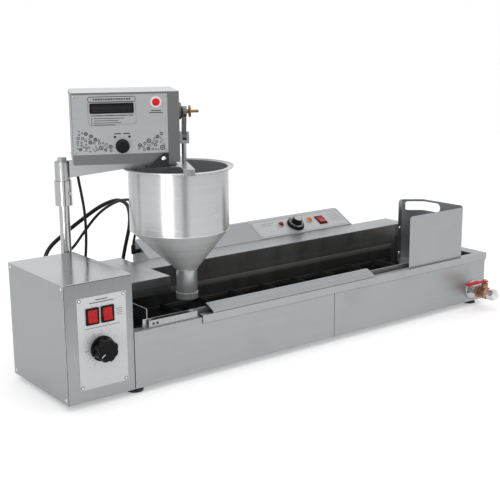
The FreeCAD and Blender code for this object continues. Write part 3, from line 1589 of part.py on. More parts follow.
def hopper_hanger():
    """Gusset on the case and the cross strap whose hooks hold the hopper's rim."""
    sheet = S.hanger_sheet
    top = S.case_bottom - S.gusset_drop
    low = top - sheet
    half = S.case_depth / 2
    gusset_at = S.case_start
    gusset = prism("XZ", [(gusset_at + S.gusset_start, low),
                          (gusset_at + S.gusset_peak, S.case_bottom + S.gusset_rise),
                          (gusset_at + S.gusset_end, S.case_bottom + S.gusset_rise),
                          (gusset_at + S.gusset_end, low)],
                   -half - S.gusset_sheet - S.label_sheet, S.gusset_sheet)
    front = -half - S.gusset_sheet - S.label_sheet
    peak = S.case_bottom + S.gusset_rise
    fold = prism("XZ", [(gusset_at + S.gusset_start, low), (gusset_at + S.gusset_peak, peak),
                        (gusset_at + S.gusset_peak + sheet, peak),
                        (gusset_at + S.gusset_start + sheet, low)],
                 front - S.gusset_fold, S.gusset_fold)
    flange = box((gusset_at + S.gusset_start, front, low),
                 (S.hanger_start + S.hanger_width - gusset_at - S.gusset_start,
                  S.case_depth / 5, sheet))
    strap = box((S.hanger_start, -S.hanger_reach, low),
                (S.hanger_width, 2 * S.hanger_reach, sheet))
    hook_bottom = S.hopper_top - S.hook_below_rim - sheet
    hooks = []
    for y, lip_y in ((-S.hanger_reach, -S.hanger_reach),
                     (S.hanger_reach - sheet, S.hanger_reach - S.hook_lip)):
        hooks.append(box((S.hanger_start, y, hook_bottom), (S.hanger_width, sheet,
                                                           top - hook_bottom)))
        hooks.append(box((S.hanger_start, lip_y, hook_bottom), (S.hanger_width, S.hook_lip,
                                                               sheet)))
    notch_radius = S.plunger_radius + S.gap
    guide = rod((PLUNGER_AT, 0, low - 1), "z", sheet + 2, notch_radius)
    mouth = box((PLUNGER_AT, -notch_radius, low - 1), (S.hanger_width, 2 * notch_radius, sheet + 2))
    return node("hopper_hanger", cut(fuse(gusset, fold, flange, strap, *hooks), guide, mouth), HEAD)


def ring_edge(x, z, radius):
    """A circle in a level plane, as one section of a loft."""
    edge = doc.addObject("Part::Circle", "Section")
    edge.Radius = float(radius)
    bind(edge, "Radius", radius)
    return LOCAL.place(edge, (x, 0, z))


def skew_cone(wall):
    """Cone whose lower end is off centre, drawn in by a wall thickness."""
    loft = doc.addObject("Part::Loft", "SkewCone")
    loft.Sections = [ring_edge(PLUNGER_AT, S.nozzle_top, S.nozzle_radius - wall),
                     ring_edge(S.hopper_at, S.hopper_shoulder, S.hopper_radius - wall)]
    loft.Solid = True
    loft.Ruled = True
    return loft


def hopper():
    """Spun hopper: flanged cylinder, skew cone and nozzle tube with its end ring."""
    shoulder = S.hopper_shoulder
    height = S.hopper_top - shoulder
    nozzle_length = S.nozzle_top - S.nozzle_bottom
    flange = S.hook_below_rim - S.gap
    outside = [skew_cone(as_size(0)),
               rod((S.hopper_at, 0, shoulder), "z", height, S.hopper_radius),
               rod((S.hopper_at, 0, S.hopper_top - flange), "z", flange, S.rim_radius),
               rod((PLUNGER_AT, 0, S.nozzle_bottom), "z", nozzle_length, S.nozzle_radius),
               rod((PLUNGER_AT, 0, S.nozzle_bottom), "z", S.nozzle_ring,
                   S.nozzle_radius + S.nozzle_wall)]
    inside = [skew_cone(S.hopper_wall),
              rod((S.hopper_at, 0, shoulder), "z", height + 1, S.hopper_radius - S.hopper_wall),
              rod((PLUNGER_AT, 0, S.nozzle_bottom - 1), "z", nozzle_length + 1,
                  S.nozzle_radius - S.nozzle_wall)]
    return node("hopper", cut(fuse(*outside), *inside), HEAD)


# Dosing drive

def crank():
    """Crank disc on the motor's shaft, with the pin that carries the link."""
    shaft = rod((0, 0, -S.crank_shaft_length), "z", S.crank_shaft_length + S.gap,
                S.shaft_radius)
    disc = turned([(0, S.gap), (S.crank_radius, S.gap), (S.crank_radius, S.crank_thickness * 0.9),
                   (S.crank_radius * 0.92, S.crank_thickness), (0, S.crank_thickness)])
    pin = rod((-S.crank_throw, 0, S.crank_thickness), "z", link_end() - S.crank_thickness,
              S.crank_pin_radius)
    return node("crank", fuse(shaft, disc, pin), CRANK)


def link_start():
    return S.plunger_reach - S.link_thickness / 2


def link_end():
    return S.plunger_reach + S.link_thickness / 2 + S.link_eye


def dose_screw():
    """Knurled dose screw with a brass stem, on the end of the crank pin."""
    start = link_end()
    radius = S.dial_radius
    screw = turned([(0, start), (radius * 0.7, start), (radius * 0.7, start + 0.2 * S.dial_thickness),
                    (radius, start + 0.3 * S.dial_thickness), (radius, start + S.dial_thickness),
                    (S.dial_stem_radius, start + S.dial_thickness),
                    (S.dial_stem_radius, start + S.dial_thickness + S.dial_stem_length),
                    (0, start + S.dial_thickness + S.dial_stem_length)])
    return node("dose_screw", CRANK.place(screw, (-S.crank_throw, 0, 0)))


def connecting_link():
    """Two-eyed link from the crank pin to the plunger's fork."""
    t = S.link_thickness
    start = link_start()
    bore = S.crank_pin_radius + S.pin_clearance
    upper = (-S.crank_throw, 0)
    lower = (0, -S.link_length)
    half = S.link_width / 2
    web = prism("XY", [(upper[0] - half, 0), (upper[0] + half, 0), (half, lower[1]),
                       (-half, lower[1])], start, t)
    eyes = [rod((upper[0], upper[1], start), "z", t, bore + S.link_eye),
            rod((lower[0], lower[1], start), "z", t, S.crank_pin_radius + S.link_eye)]
    holes = [rod((upper[0], upper[1], start - 1), "z", t + 2, bore),
             rod((lower[0], lower[1], start - 1), "z", t + 2,
                 S.crank_pin_radius + S.running_fit)]
    return node("connecting_link", cut(fuse(web, *eyes), *holes), CRANK)


def plunger():
    """Dosing plunger: forked head with its pin, rod, and piston in the nozzle."""
    pivot = CRANK_UP - S.link_length
    half = S.fork_width / 2
    slot = S.link_thickness / 2 + S.gap
    reach = slot + S.fork_cheek
    bottom = pivot - S.fork_height * 0.6
    block = box((PLUNGER_AT - reach, -half, bottom), (2 * reach, S.fork_width, S.fork_height))
    throat = box((PLUNGER_AT - slot, -half - 1, pivot - S.crank_pin_radius - S.link_eye - 1),
                 (2 * slot, S.fork_width + 2, S.fork_height))
    pin = rod((PLUNGER_AT - reach, 0, pivot), "x", 2 * reach, S.crank_pin_radius)
    stem = rod((PLUNGER_AT, 0, S.piston_bottom), "z", bottom - S.piston_bottom,
               S.plunger_radius)
    piston = rod((PLUNGER_AT, 0, S.piston_bottom), "z", S.piston_length,
                 S.nozzle_radius - S.nozzle_wall - S.running_fit)
    return node("plunger", fuse(cut(block, throat), pin, stem, piston), HEAD)


# Cords and their glands

def cord(name, route, radius):
    """A free cord along its route, with its bend radii and volume printed."""
    bends = cord_bends(route)
    solid, length = tube_along(route, radius, bends)
    expected = math.pi * float(radius) ** 2 * length
    print(name, "radii", [round(bend) for bend in bends], "length", round(length, 1),
          "volume ratio", round(solid.Volume / expected, 5))
    piece = doc.addObject("Part::Feature", "Cord")
    piece.Shape = solid
    return node(name, piece, CORNER)


def cord_glands():
    """Screwed glands where the cords leave the boxes, the deck and the back wall."""
    nut = 1.7
    pieces = []
    for route, radius in ((POWER_CORD_ROUTE, S.power_cord_radius),
                          (SIGNAL_CORD_ROUTE, S.thin_cord_radius)):
        x, _, z = route[0]
        pieces.append(hex_bar((x, S.box_depth, z), "y", S.box_gland_length, radius * 2 * nut))
    x, y, _ = HEAD_CORD_ROUTE[-1]
    pieces.append(hex_bar((x, y, DECK_TOP), "z", S.deck_gland_length,
                          S.thin_cord_radius * 2 * nut))
    x, _, z = POWER_CORD_ROUTE[-1]
    pieces.append(hex_bar((x, S.fryer_depth, z), "y", S.wall_gland_length,
                          S.power_cord_radius * 2 * nut))
    _, y, z = SIGNAL_CORD_ROUTE[-1]
    x = S.control_start - S.elbow_gland_length
    reach = S.thin_cord_radius * nut
    pieces.append(fuse(hex_bar((x, y, z - 4 * reach), "z", 4 * reach, 2 * reach),
                       rod((x, y, z - 3 * reach), "x", S.elbow_gland_length, reach)))
    return node("cord_glands", together(*pieces), CORNER)


def build():
    """Make every sub-part in the order of assembly."""
    body_pan()
    front_panel_left()
    front_panel_right()
    right_end_panel()
    front_rim()
    rear_rim()
    front_cover_strip()
    feet()
    oil_tank()
    heating_element()
    thermostat_probe()
    conveyor_rails()
    shaft_bearings()
    drive_shaft()
    idler_shaft()
    chains()
    flights()
    conveyor_end_plate()
    rear_deck()
    drive_box_shell()
    drive_box_lid()
    drive_box_label()
    switch_housings()
    rockers()
    speed_knob()
    gear_motor()
    motor_sprocket()
    rear_control_box()
    rear_label()
    lamp("lamp_red", RED_LAMP_AT)
    lamp("lamp_amber", AMBER_LAMP_AT)
    thermostat_knob()
    drain_flange()
    valve_body()
    valve_cap()
    valve_lever()
    unloading_tray()
    post()
    height_collar()
    post_fixings()
    head_arm()
    head_case()
    head_label()
    display_window()
    push_button()
    dose_knob()
    head_motor()
    hopper_hanger()
    hopper()
    crank()
    dose_screw()
    connecting_link()
    plunger()
    cord("cord_head", HEAD_CORD_ROUTE, S.thin_cord_radius)
    cord("cord_power", POWER_CORD_ROUTE, S.power_cord_radius)
    cord("cord_signal", SIGNAL_CORD_ROUTE, S.thin_cord_radius)
    cord_glands()


def export():
    """Check every object, then write one file per sub-part."""
    doc.recompute()
    for thing in doc.Objects:
        if "Invalid" in thing.State or "Error" in thing.State:
            raise RuntimeError("failed object: %s (%s)" % (thing.Name, thing.Label))
    for name, thing in NODES.items():
        if thing.Shape.isNull() or not thing.Shape.isValid() or not thing.Shape.Solids:
            raise RuntimeError("bad shape: " + name)
    os.makedirs("parts", exist_ok=True)
    for name, thing in NODES.items():
        thing.Shape.exportStep(os.path.join("parts", name + ".step"))
    print("wrote", len(NODES), "sub-parts")


build()
export()
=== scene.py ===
"""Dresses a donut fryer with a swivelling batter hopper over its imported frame.

Lengths are millimetres and angles degrees unless a name says otherwise. Corner coordinates
count from the fryer's front lower left corner: X along the fryer, Y to its back and Z up.
"""

import logging
import math
import random
from dataclasses import dataclass, field
from enum import Enum
from typing import Callable, ClassVar, Iterable, Sequence

import bmesh
import bpy
from mathutils import Matrix, Vector


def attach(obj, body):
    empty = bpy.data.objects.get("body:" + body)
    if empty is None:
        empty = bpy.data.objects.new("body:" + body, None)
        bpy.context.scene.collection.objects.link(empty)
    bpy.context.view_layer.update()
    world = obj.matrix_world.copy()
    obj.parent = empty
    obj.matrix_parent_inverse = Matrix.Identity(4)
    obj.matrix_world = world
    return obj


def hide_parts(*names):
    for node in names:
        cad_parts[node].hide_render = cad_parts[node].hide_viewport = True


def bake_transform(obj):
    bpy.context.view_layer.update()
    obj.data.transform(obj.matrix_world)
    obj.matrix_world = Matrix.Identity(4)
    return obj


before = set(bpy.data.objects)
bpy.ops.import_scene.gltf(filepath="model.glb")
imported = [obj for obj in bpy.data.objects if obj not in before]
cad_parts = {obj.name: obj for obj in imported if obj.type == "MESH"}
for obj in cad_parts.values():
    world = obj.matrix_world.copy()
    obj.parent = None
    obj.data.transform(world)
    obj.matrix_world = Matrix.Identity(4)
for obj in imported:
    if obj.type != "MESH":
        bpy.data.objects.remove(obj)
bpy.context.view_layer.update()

LOG = logging.getLogger("donut_fryer")
Piece = bpy.types.Object
Socket = bpy.types.NodeSocket
Colour = tuple[float, float, float]
Point = tuple[float, float, float]
Pair = tuple[float, float]
Outline = Sequence[Pair]
Bars = tuple[tuple[float, float, float, float], ...]
Test = Callable[[Vector, Vector], bool]

MM = 0.001
CORNER = Vector((-0.012, -0.025, 0.012))
EAST = Vector((1, 0, 0))
NORTH = Vector((0, 1, 0))
UP = Vector((0, 0, 1))
POST_AT = (-9, 252)
HEAD_YAW = math.radians(-25.7)
HEAD_ALONG = Vector((math.cos(HEAD_YAW), math.sin(HEAD_YAW), 0))
HEAD_ACROSS = Vector((-math.sin(HEAD_YAW), math.cos(HEAD_YAW), 0))
SLOPE_FOOT = (356.3, 155)
SLOPE_RISE = math.radians(28)
SLOPE_UP = Vector((0, math.cos(SLOPE_RISE), math.sin(SLOPE_RISE)))
INK_LIFT = 0.02
SQUARE_ON = 0.9


def corner(x: float, y: float, z: float) -> Vector:
    """Gives the row-frame point, in metres, of corner coordinates in millimetres."""
    return CORNER + Vector((x, y, z)) * MM


def head(along: float, across: float, z: float) -> Vector:
    """Gives the row-frame point along and across the head from the swivel post, at a height."""
    return corner(*POST_AT, z) + (HEAD_ALONG * along + HEAD_ACROSS * across) * MM


def shift(x: float = 0, y: float = 0, z: float = 0) -> Matrix:
    """Gives the matrix of a plain move."""
    return Matrix.Translation((x, y, z))


def rotation(angle: float, axis: str = "Z") -> Matrix:
    """Gives the matrix of a turn about an axis."""
    return Matrix.Rotation(math.radians(angle), 4, axis)


def linear(level: float) -> float:
    """Turns one screen level of 0 to 255 into linear light."""
    share = level / 255
    return share / 12.92 if share <= 0.04045 else ((share + 0.055) / 1.055) ** 2.4


def screen(red: float, green: float, blue: float) -> Colour:
    """Gives the linear colour of a screen colour in levels of 0 to 255."""
    return linear(red), linear(green), linear(blue)


def grey(level: float, warmth: float = 0) -> Colour:
    """Gives a grey of a screen level, with more red and less blue as it gets warmer."""
    return screen(level + warmth, level, level - warmth)


def faces_front(spot: Vector, way: Vector) -> bool:
    """Says whether a face looks to the machine's front."""
    return way.y < -SQUARE_ON


@dataclass(frozen=True)
class Place:
    """A flat spot on the machine, with x to its right, y up it and z out of it.

    Attributes:
        origin: the spot's origin in the row frame, in metres.
        right: direction of its x axis.
        up: direction of its y axis.
    """

    origin: Vector
    right: Vector = EAST
    up: Vector = UP

    def matrix(self, x: float = 0, y: float = 0, out: float = 0, turn: float = 0) -> Matrix:
        """Takes a shape modelled in millimetres to its place in metres.

        Args:
            x: distance to the right of the origin.
            y: distance up from the origin.
            out: height above the spot.
            turn: angle, anticlockwise as seen from outside.

        Returns:
            The matrix for the shape's mesh.
        """
        axes = Matrix((self.right, self.up, self.right.cross(self.up))).transposed().to_4x4()
        local = shift(x, y, out) @ rotation(turn)
        return Matrix.Translation(self.origin) @ axes @ Matrix.Scale(MM, 4) @ local


class Graph:
    """A shader node tree written as short calls, each of which hands on an output socket."""

    def __init__(self, tree: bpy.types.NodeTree) -> None:
        """Keeps the tree that the calls add to."""
        self.tree = tree

    def feed(self, node: bpy.types.Node, feeds: dict) -> None:
        """Links sockets into a node's inputs, or writes plain values on them.

        Args:
            node: the node.
            feeds: a socket or a value for each input's name or number.
        """
        for name, value in feeds.items():
            if isinstance(value, Socket):
                self.tree.links.new(value, node.inputs[name])
            else:
                node.inputs[name].default_value = value

    def node(self, kind: str, feeds: dict | None = None, **settings: object) -> bpy.types.Node:
        """Adds a node.

        Args:
            kind: the node's type.
            feeds: what goes into its inputs.
            **settings: the node's own properties.

        Returns:
            The new node.
        """
        node = self.tree.nodes.new(kind)
        for name, value in settings.items():
            setattr(node, name, value)
        self.feed(node, feeds or {})
        return node

    def calc(self, operation: str, *values: object) -> Socket:
        """Runs a Math operation on sockets and numbers."""
        return self.node("ShaderNodeMath", dict(enumerate(values)), operation=operation).outputs[0]

    def spread(
        self, value: object, low: float, high: float, to_low: float = 0, to_high: float = 1
    ) -> Socket:
        """Maps the range low to high onto another range, held within it."""
        feeds = {0: value, 1: low, 2: high, 3: to_low, 4: to_high}
        return self.node("ShaderNodeMapRange", feeds).outputs[0]

    def blend(self, share: object, first: object, second: object, part: float = 1) -> Socket:
        """Mixes two colours, each a socket or three linear parts.

        Args:
            share: how much of the second colour shows.
            first: the first colour.
            second: the second colour.
            part: what the share is multiplied by.

        Returns:
            The colour socket.
        """
        share = share if part == 1 else self.calc("MULTIPLY", share, part)
        whole = [(*c, 1) if isinstance(c, tuple) else c for c in (first, second)]
        feeds = {0: share, 6: whole[0], 7: whole[1]}
        return self.node("ShaderNodeMix", feeds, data_type="RGBA").outputs[2]

    def noise(self, point: Socket, scale: float, detail: float = 2, rough: float = 0.5) -> Socket:
        """Gives a grey noise of 0 to 1."""
        feeds = {"Vector": point, "Scale": scale, "Detail": detail, "Roughness": rough}
        return self.node("ShaderNodeTexNoise", feeds).outputs[0]

    def cloud(self, noise: Sequence, low: float, high: float, to_high: float = 1) -> Socket:
        """Gives patches of 0 to a share where a noise of these settings passes low and high."""
        return self.spread(self.noise(*noise), low, high, 0, to_high)

    def point(self, scale: float | Point = 1, yaw: float = 0) -> Socket:
        """Gives the object's own coordinates, turned and then scaled.

        Args:
            scale: how many pattern units one metre holds, in all or along each axis.
            yaw: the turn about Z, in radians, of the piece that the pattern lies on.

        Returns:
            The vector socket.
        """
        parts = scale if isinstance(scale, tuple) else (scale,) * 3
        source = self.node("ShaderNodeTexCoord").outputs["Object"]
        sizes = tuple(1 / part for part in parts)
        feeds = {"Vector": source, "Rotation": (0, 0, yaw), "Scale": sizes}
        return self.node("ShaderNodeMapping", feeds, vector_type="TEXTURE").outputs[0]

    def level(self, low: float, high: float, share: float) -> Socket:
        """Gives a mask that runs from 0 at one height, in metres, to a share at another."""
        height = self.node("ShaderNodeSeparateXYZ", {0: self.point()}).outputs["Z"]
        return self.spread(height, low, high, 0, share)

    def bump(self, height: Socket, strength: float, distance: float, normal: Socket) -> Socket:
        """Lays a height, whose full step is a distance in metres, over a normal."""
        feeds = {"Height": height, "Strength": strength, "Distance": distance, "Normal": normal}
        return self.node("ShaderNodeBump", feeds).outputs[0]

    def effect(self, effect: "Effect", given: object) -> bpy.types.NodeOutputs:
        """Places a shared effect and gives its outputs."""
        return self.node("ShaderNodeGroup", {0: given}, node_tree=effect.tree()).outputs


@dataclass(frozen=True)
class Effect:
    """A node group that several finishes share, built when it is first asked for.

    Attributes:
        name: the group's name.
        fill: adds its nodes to a graph and names what comes out.
        given: the name of what goes in.
    """

    name: str
    fill: Callable[[Graph, Socket], dict[str, Socket]]
    given: str = "Vector"

    def tree(self) -> bpy.types.NodeTree:
        """Gives the group's tree.

        Returns:
            The tree, with named inputs and outputs.
        """
        found = bpy.data.node_groups.get(self.name)
        if found:
            return found
        tree = bpy.data.node_groups.new(self.name, "ShaderNodeTree")
        self.open(tree, self.given, "INPUT")
        graph = Graph(tree)
        made = self.fill(graph, graph.node("NodeGroupInput").outputs[0])
        for label in made:
            self.open(tree, label, "OUTPUT")
        graph.node("NodeGroupOutput", made)
        return tree

    @staticmethod
    def open(tree: bpy.types.NodeTree, label: str, side: str) -> None:
        """Opens a named input or output on a group."""
        kind = "NodeSocketVector" if label in ("Vector", "Normal") else "NodeSocketFloat"
        tree.interface.new_socket(label, in_out=side, socket_type=kind)


def brush_streaks(graph: Graph, point: Socket) -> dict[str, Socket]:
    """Adds fine and broad streaks of brushing.

    Args:
        graph: the group's graph.
        point: a point stretched along the grain.

    Returns:
        The streaks and their height.
    """
    fine = graph.noise(point, 1, 3, 0.6)
    broad = graph.calc("MULTIPLY", graph.noise(point, 0.11), 0.45)
    mixed = graph.calc("ADD", graph.calc("MULTIPLY", fine, 0.55), broad)
    return {"Streak": graph.spread(mixed, 0.34, 0.66), "Height": fine}


def hand_marks(graph: Graph, point: Socket) -> dict[str, Socket]:
    """Adds soft patches where hands and cloths have passed."""
    patch = graph.cloud((point, 0.3, 1), 0.42, 0.62)
    return {"Mask": graph.calc("MULTIPLY", graph.cloud((point, 1, 5, 0.62), 0.47, 0.72), patch)}


def soft_edges(graph: Graph, radius: Socket) -> dict[str, Socket]:
    """Adds a softened edge and the mask of where it has been rubbed bright.

    Args:
        graph: the group's graph.
        radius: how far edges are softened.

    Returns:
        The softened normal and the mask.
    """
    soft = graph.node("ShaderNodeBevel", {"Radius": radius}, samples=4).outputs[0]
    plain = graph.node("ShaderNodeNewGeometry").outputs["Normal"]
    facing = graph.node("ShaderNodeVectorMath", {0: soft, 1: plain}, operation="DOT_PRODUCT")
    return {"Normal": soft, "Mask": graph.spread(facing.outputs["Value"], 0.995, 0.8)}


def pebbles(graph: Graph, point: Socket) -> dict[str, Socket]:
    """Adds the fine pebbled skin of castings and mouldings.

    Args:
        graph: the group's graph.
        point: where the pattern is read.

    Returns:
        The skin's height and its mask.
    """
    cells = graph.node("ShaderNodeTexVoronoi", {"Vector": point, "Scale": 1.0}).outputs[0]
    clouds = graph.noise(point, 0.35, 4, 0.6)
    height = graph.calc("ADD", graph.calc("MULTIPLY", cells, 0.5), clouds)
    return {"Height": height, "Mask": graph.spread(clouds, 0.35, 0.65)}


def oil_runs(graph: Graph, point: Socket) -> dict[str, Socket]:
    """Adds streaks and spots of an oil film that has run down and gathered."""
    runs = graph.cloud((point, 1, 4, 0.65), 0.4, 0.7)
    return {"Mask": runs, "Spots": graph.cloud((point, 7), 0.62, 0.7)}


GRAIN = Effect("brushed_grain", brush_streaks)
SMUDGES = Effect("hand_smudges", hand_marks)
EDGES = Effect("rubbed_edges", soft_edges, "Radius")
SKIN = Effect("pebbled_skin", pebbles)
FILM = Effect("oil_film", oil_runs)


class Grain(Enum):
    """Which way a sheet was brushed: pattern units in a metre along X, Y and Z."""

    ALONG = (5, 800, 800)
    DEEP = (800, 5, 800)
    UPRIGHT = (800, 800, 5)
    ROUND = (4, 4, 900)


@dataclass(frozen=True)
class Finish:
    """A surface finish.

    Attributes:
        name: the material's name.
        colour: its linear colour.
        roughness: its roughness.
        edge: how far its edges are softened, in metres.
    """

    name: str
    colour: Colour
    roughness: float
    edge: ClassVar[float] = 0.0006

    def material(self) -> bpy.types.Material:
        """Gives the finish's material, made once.

        Returns:
            The material, dressed.
        """
        found = bpy.data.materials.get(self.name)
        if found:
            return found
        material = bpy.data.materials.new(self.name)
        material.use_nodes = True
        graph = Graph(material.node_tree)
        graph.feed(material.node_tree.nodes["Principled BSDF"], self.dress(graph))
        material.diffuse_color = (*self.colour, 1)
        return material

    def dress(self, graph: Graph) -> dict[str, object]:
        """Adds the nodes of the finish and says what goes into the shader."""
        raise NotImplementedError(self.name)

    def tone(self, share: float) -> Colour:
        """Gives the finish's colour, darker or brighter by a share."""
        return tuple(min(1.0, part * share) for part in self.colour)

    def rough(self, graph: Graph, mask: Socket, less: float, more: float) -> Socket:
        """Varies the roughness with a mask, from less below its own value to more above it."""
        return graph.spread(mask, 0, 1, self.roughness - less, self.roughness + more)

    def edges(self, graph: Graph) -> bpy.types.NodeOutputs:
        """Places the rubbed edges."""
        return graph.effect(EDGES, self.edge)


def smudges(graph: Graph, scale: float | Point) -> Socket:
    """Gives the mask of hand marks, at so many to a metre."""
    return graph.effect(SMUDGES, graph.point(scale))["Mask"]


@dataclass(frozen=True)
class BrushedSteel(Finish):
    """Brushed sheet steel with smudges, rubbed edges and, on some copies, painted shade that
    darkens it towards the top.

    Attributes:
        grain: which way it was brushed.
        yaw: the turn of its piece about Z, in radians.
        contrast: how much the streaks differ.
        smudge: how much hand marks darken it.
        edge_gain: how much brighter rubbed edges are.
        metal: its share of metal reflection, less where light scatters off fine turning marks.
        relief: how deep the brushing looks.
        dulled: heights in metres where the painted shade starts and is complete, and its share
            there.
    """

    grain: Grain = Grain.ALONG
    yaw: float = 0
    contrast: float = 0.05
    smudge: float = 0.12
    edge_gain: float = 1.35
    metal: float = 1
    relief: float = 0.03
    dulled: Point | None = None

    def dress(self, graph: Graph) -> dict[str, object]:
        """Adds streaks, smudges, edges and a fine bump.

        Args:
            graph: the material's graph.

        Returns:
            What goes into the shader.
        """
        grain = graph.effect(GRAIN, graph.point(self.grain.value, self.yaw))
        smudge = smudges(graph, 11)
        edges = self.edges(graph)
        streak = grain["Streak"]
        tone = graph.blend(streak, self.tone(1 - self.contrast), self.tone(1 + self.contrast))
        tone = graph.blend(smudge, tone, self.tone(0.62), self.smudge)
        # Painted shade: the colour is darkened towards black between two heights.
        if self.dulled:
            tone = graph.blend(graph.level(*self.dulled), tone, (0, 0, 0))
        rough = self.rough(graph, streak, 0.05, 0.05)
        return {
            "Metallic": self.metal,
            "Base Color": graph.blend(edges["Mask"], tone, self.tone(self.edge_gain)),
            "Roughness": graph.calc("ADD", rough, graph.calc("MULTIPLY", smudge, 0.1)),
            "Normal": graph.bump(grain["Height"], self.relief, 0.0002, edges["Normal"]),
        }


@dataclass(frozen=True)
class PolishedMetal(Finish):
    """Plated or polished metal with faint wipe marks."""

    edge = 0.0005

    def dress(self, graph: Graph) -> dict[str, object]:
        """Adds wipe marks and soft edges.

        Args:
            graph: the material's graph.

        Returns:
            What goes into the shader.
        """
        smudge = smudges(graph, (40, 40, 18))
        return {
            "Metallic": 1,
            "Base Color": graph.blend(smudge, self.colour, self.tone(0.6), 0.1),
            "Roughness": self.rough(graph, smudge, 0, 0.12),
            "Normal": self.edges(graph)["Normal"],
        }


@dataclass(frozen=True)
class CastMetal(Finish):
    """Cast or forged metal, with patches of tarnish and rubbed bright on its edges.

    Attributes:
        tarnish: the colour of its hollows.
        skin: how many pebbles a metre holds.
    """

    tarnish: Colour = (0.1, 0.1, 0.1)
    skin: float = 1500
    edge = 0.0007

    def dress(self, graph: Graph) -> dict[str, object]:
        """Adds a pebbled skin, tarnish and rubbed edges.

        Args:
            graph: the material's graph.

        Returns:
            What goes into the shader.
        """
        skin = graph.effect(SKIN, graph.point(self.skin))
        edges = self.edges(graph)
        aged = graph.cloud((graph.point(), 90, 3, 0.6), 0.42, 0.66)
        tone = graph.blend(aged, self.colour, self.tarnish, 0.55)
        return {
            "Metallic": 1,
            "Base Color": graph.blend(edges["Mask"], tone, self.tone(1.4)),
            "Roughness": self.rough(graph, skin["Mask"], 0.06, 0.1),
            "Normal": graph.bump(skin["Height"], 0.25, 0.0002, edges["Normal"]),
        }


@dataclass(frozen=True)
class Moulding(Finish):
    """Moulded plastic or rubber with a fine skin, dusty flats and paler edges.

    Attributes:
        dust: how much dust pales its flats.
        specular: how strongly it reflects.
        skin: how many pebbles a metre holds.
    """

    dust: float = 0.01
    specular: float = 0.22
    skin: float = 1600

    def dress(self, graph: Graph) -> dict[str, object]:
        """Adds a fine skin, dust and edges.

        Args:
            graph: the material's graph.

        Returns:
            What goes into the shader.
        """
        skin = graph.effect(SKIN, graph.point(self.skin))
        edges = self.edges(graph)
        pale = tuple(part + 0.3 * (0.5 - part) for part in self.colour)
        tone = graph.blend(smudges(graph, 45), self.colour, pale, self.dust * 4)
        return {
            "Base Color": graph.blend(edges["Mask"], tone, pale, 0.25),
            "Roughness": self.rough(graph, skin["Mask"], 0.04, 0.1),
            "Specular IOR Level": self.specular,
            "Normal": graph.bump(skin["Height"], 0.12, 0.0001, edges["Normal"]),
        }


@dataclass(frozen=True)
class Enamel(Finish):
    """Sprayed metallic paint with a slight orange peel.

    Attributes:
        metal: its share of metal reflection.
    """

    metal: float = 0.85
    edge = 0.0008

    def dress(self, graph: Graph) -> dict[str, object]:
        """Adds orange peel, flake and rubbed edges.

        Args:
            graph: the material's graph.

        Returns:
            What goes into the shader.
        """
        flake = graph.cloud((graph.point(), 1400), 0.3, 0.7)
        smudge = smudges(graph, 12)
        edges = self.edges(graph)
        tone = graph.blend(flake, self.tone(0.92), self.tone(1.08))
        tone = graph.blend(smudge, tone, self.tone(0.7), 0.15)
        peel = graph.noise(graph.point(), 260)
        return {
            "Metallic": self.metal,
            "Base Color": graph.blend(edges["Mask"], tone, self.tone(1.6), 0.6),
            "Roughness": self.rough(graph, smudge, 0, 0.12),
            "Normal": graph.bump(peel, 0.08, 0.0002, edges["Normal"]),
        }


@dataclass(frozen=True)
class PrintedFilm(Finish):
    """Satin plate or film under the printing, with fine scratches.

    Attributes:
        yaw: the turn of its piece about Z, in radians.
    """

    yaw: float = 0
    edge = 0.0004

    def dress(self, graph: Graph) -> dict[str, object]:
        """Adds a short grain and smudges.

        Args:
            graph: the material's graph.

        Returns:
            What goes into the shader.
        """
        grain = graph.effect(GRAIN, graph.point((60, 1100, 1100), self.yaw))
        tone = graph.blend(grain["Streak"], self.tone(0.965), self.tone(1.035))
        return {
            "Metallic": 0.6,
            "Base Color": graph.blend(smudges(graph, 26), tone, self.tone(0.7), 0.12),
            "Roughness": self.rough(graph, grain["Streak"], 0.04, 0.06),
            "Normal": graph.bump(grain["Height"], 0.05, 0.0001, self.edges(graph)["Normal"]),
        }


@dataclass(frozen=True)
class OiledSteel(Finish):
    """Steel under a baked, nearly black oil film.

    Attributes:
        film: the colour of the film.
        bare: the colour of rubbed edges, and of the painted sheen band.
        wiped: heights in metres where the painted sheen starts and is complete, and its share
            there.
    """

    film: Colour = (0.046, 0.044, 0.042)
    bare: Colour = (0.16, 0.155, 0.15)
    wiped: Point | None = None

    def dress(self, graph: Graph) -> dict[str, object]:
        """Adds runs and spots of film, rubbed edges and any painted sheen band.

        Args:
            graph: the material's graph.

        Returns:
            What goes into the shader.
        """
        film = graph.effect(FILM, graph.point((26, 26, 7)))
        grain = graph.effect(GRAIN, graph.point(Grain.ALONG.value))
        edges = self.edges(graph)
        spots = tuple(part * 0.5 for part in self.film)
        tone = graph.blend(film["Mask"], self.colour, self.film)
        tone = graph.blend(film["Spots"], tone, spots, 0.4)
        # Painted sheen: lightens a band between two heights towards the bare colour.
        if self.wiped:
            tone = graph.blend(graph.level(*self.wiped), tone, self.bare)
        return {
            "Metallic": 0.6,
            "Specular IOR Level": 0.3,
            "Base Color": graph.blend(edges["Mask"], tone, self.bare, 0.7),
            "Roughness": self.rough(graph, film["Mask"], -0.08, -0.08),
            "Normal": graph.bump(grain["Height"], 0.1, 0.0002, edges["Normal"]),
        }


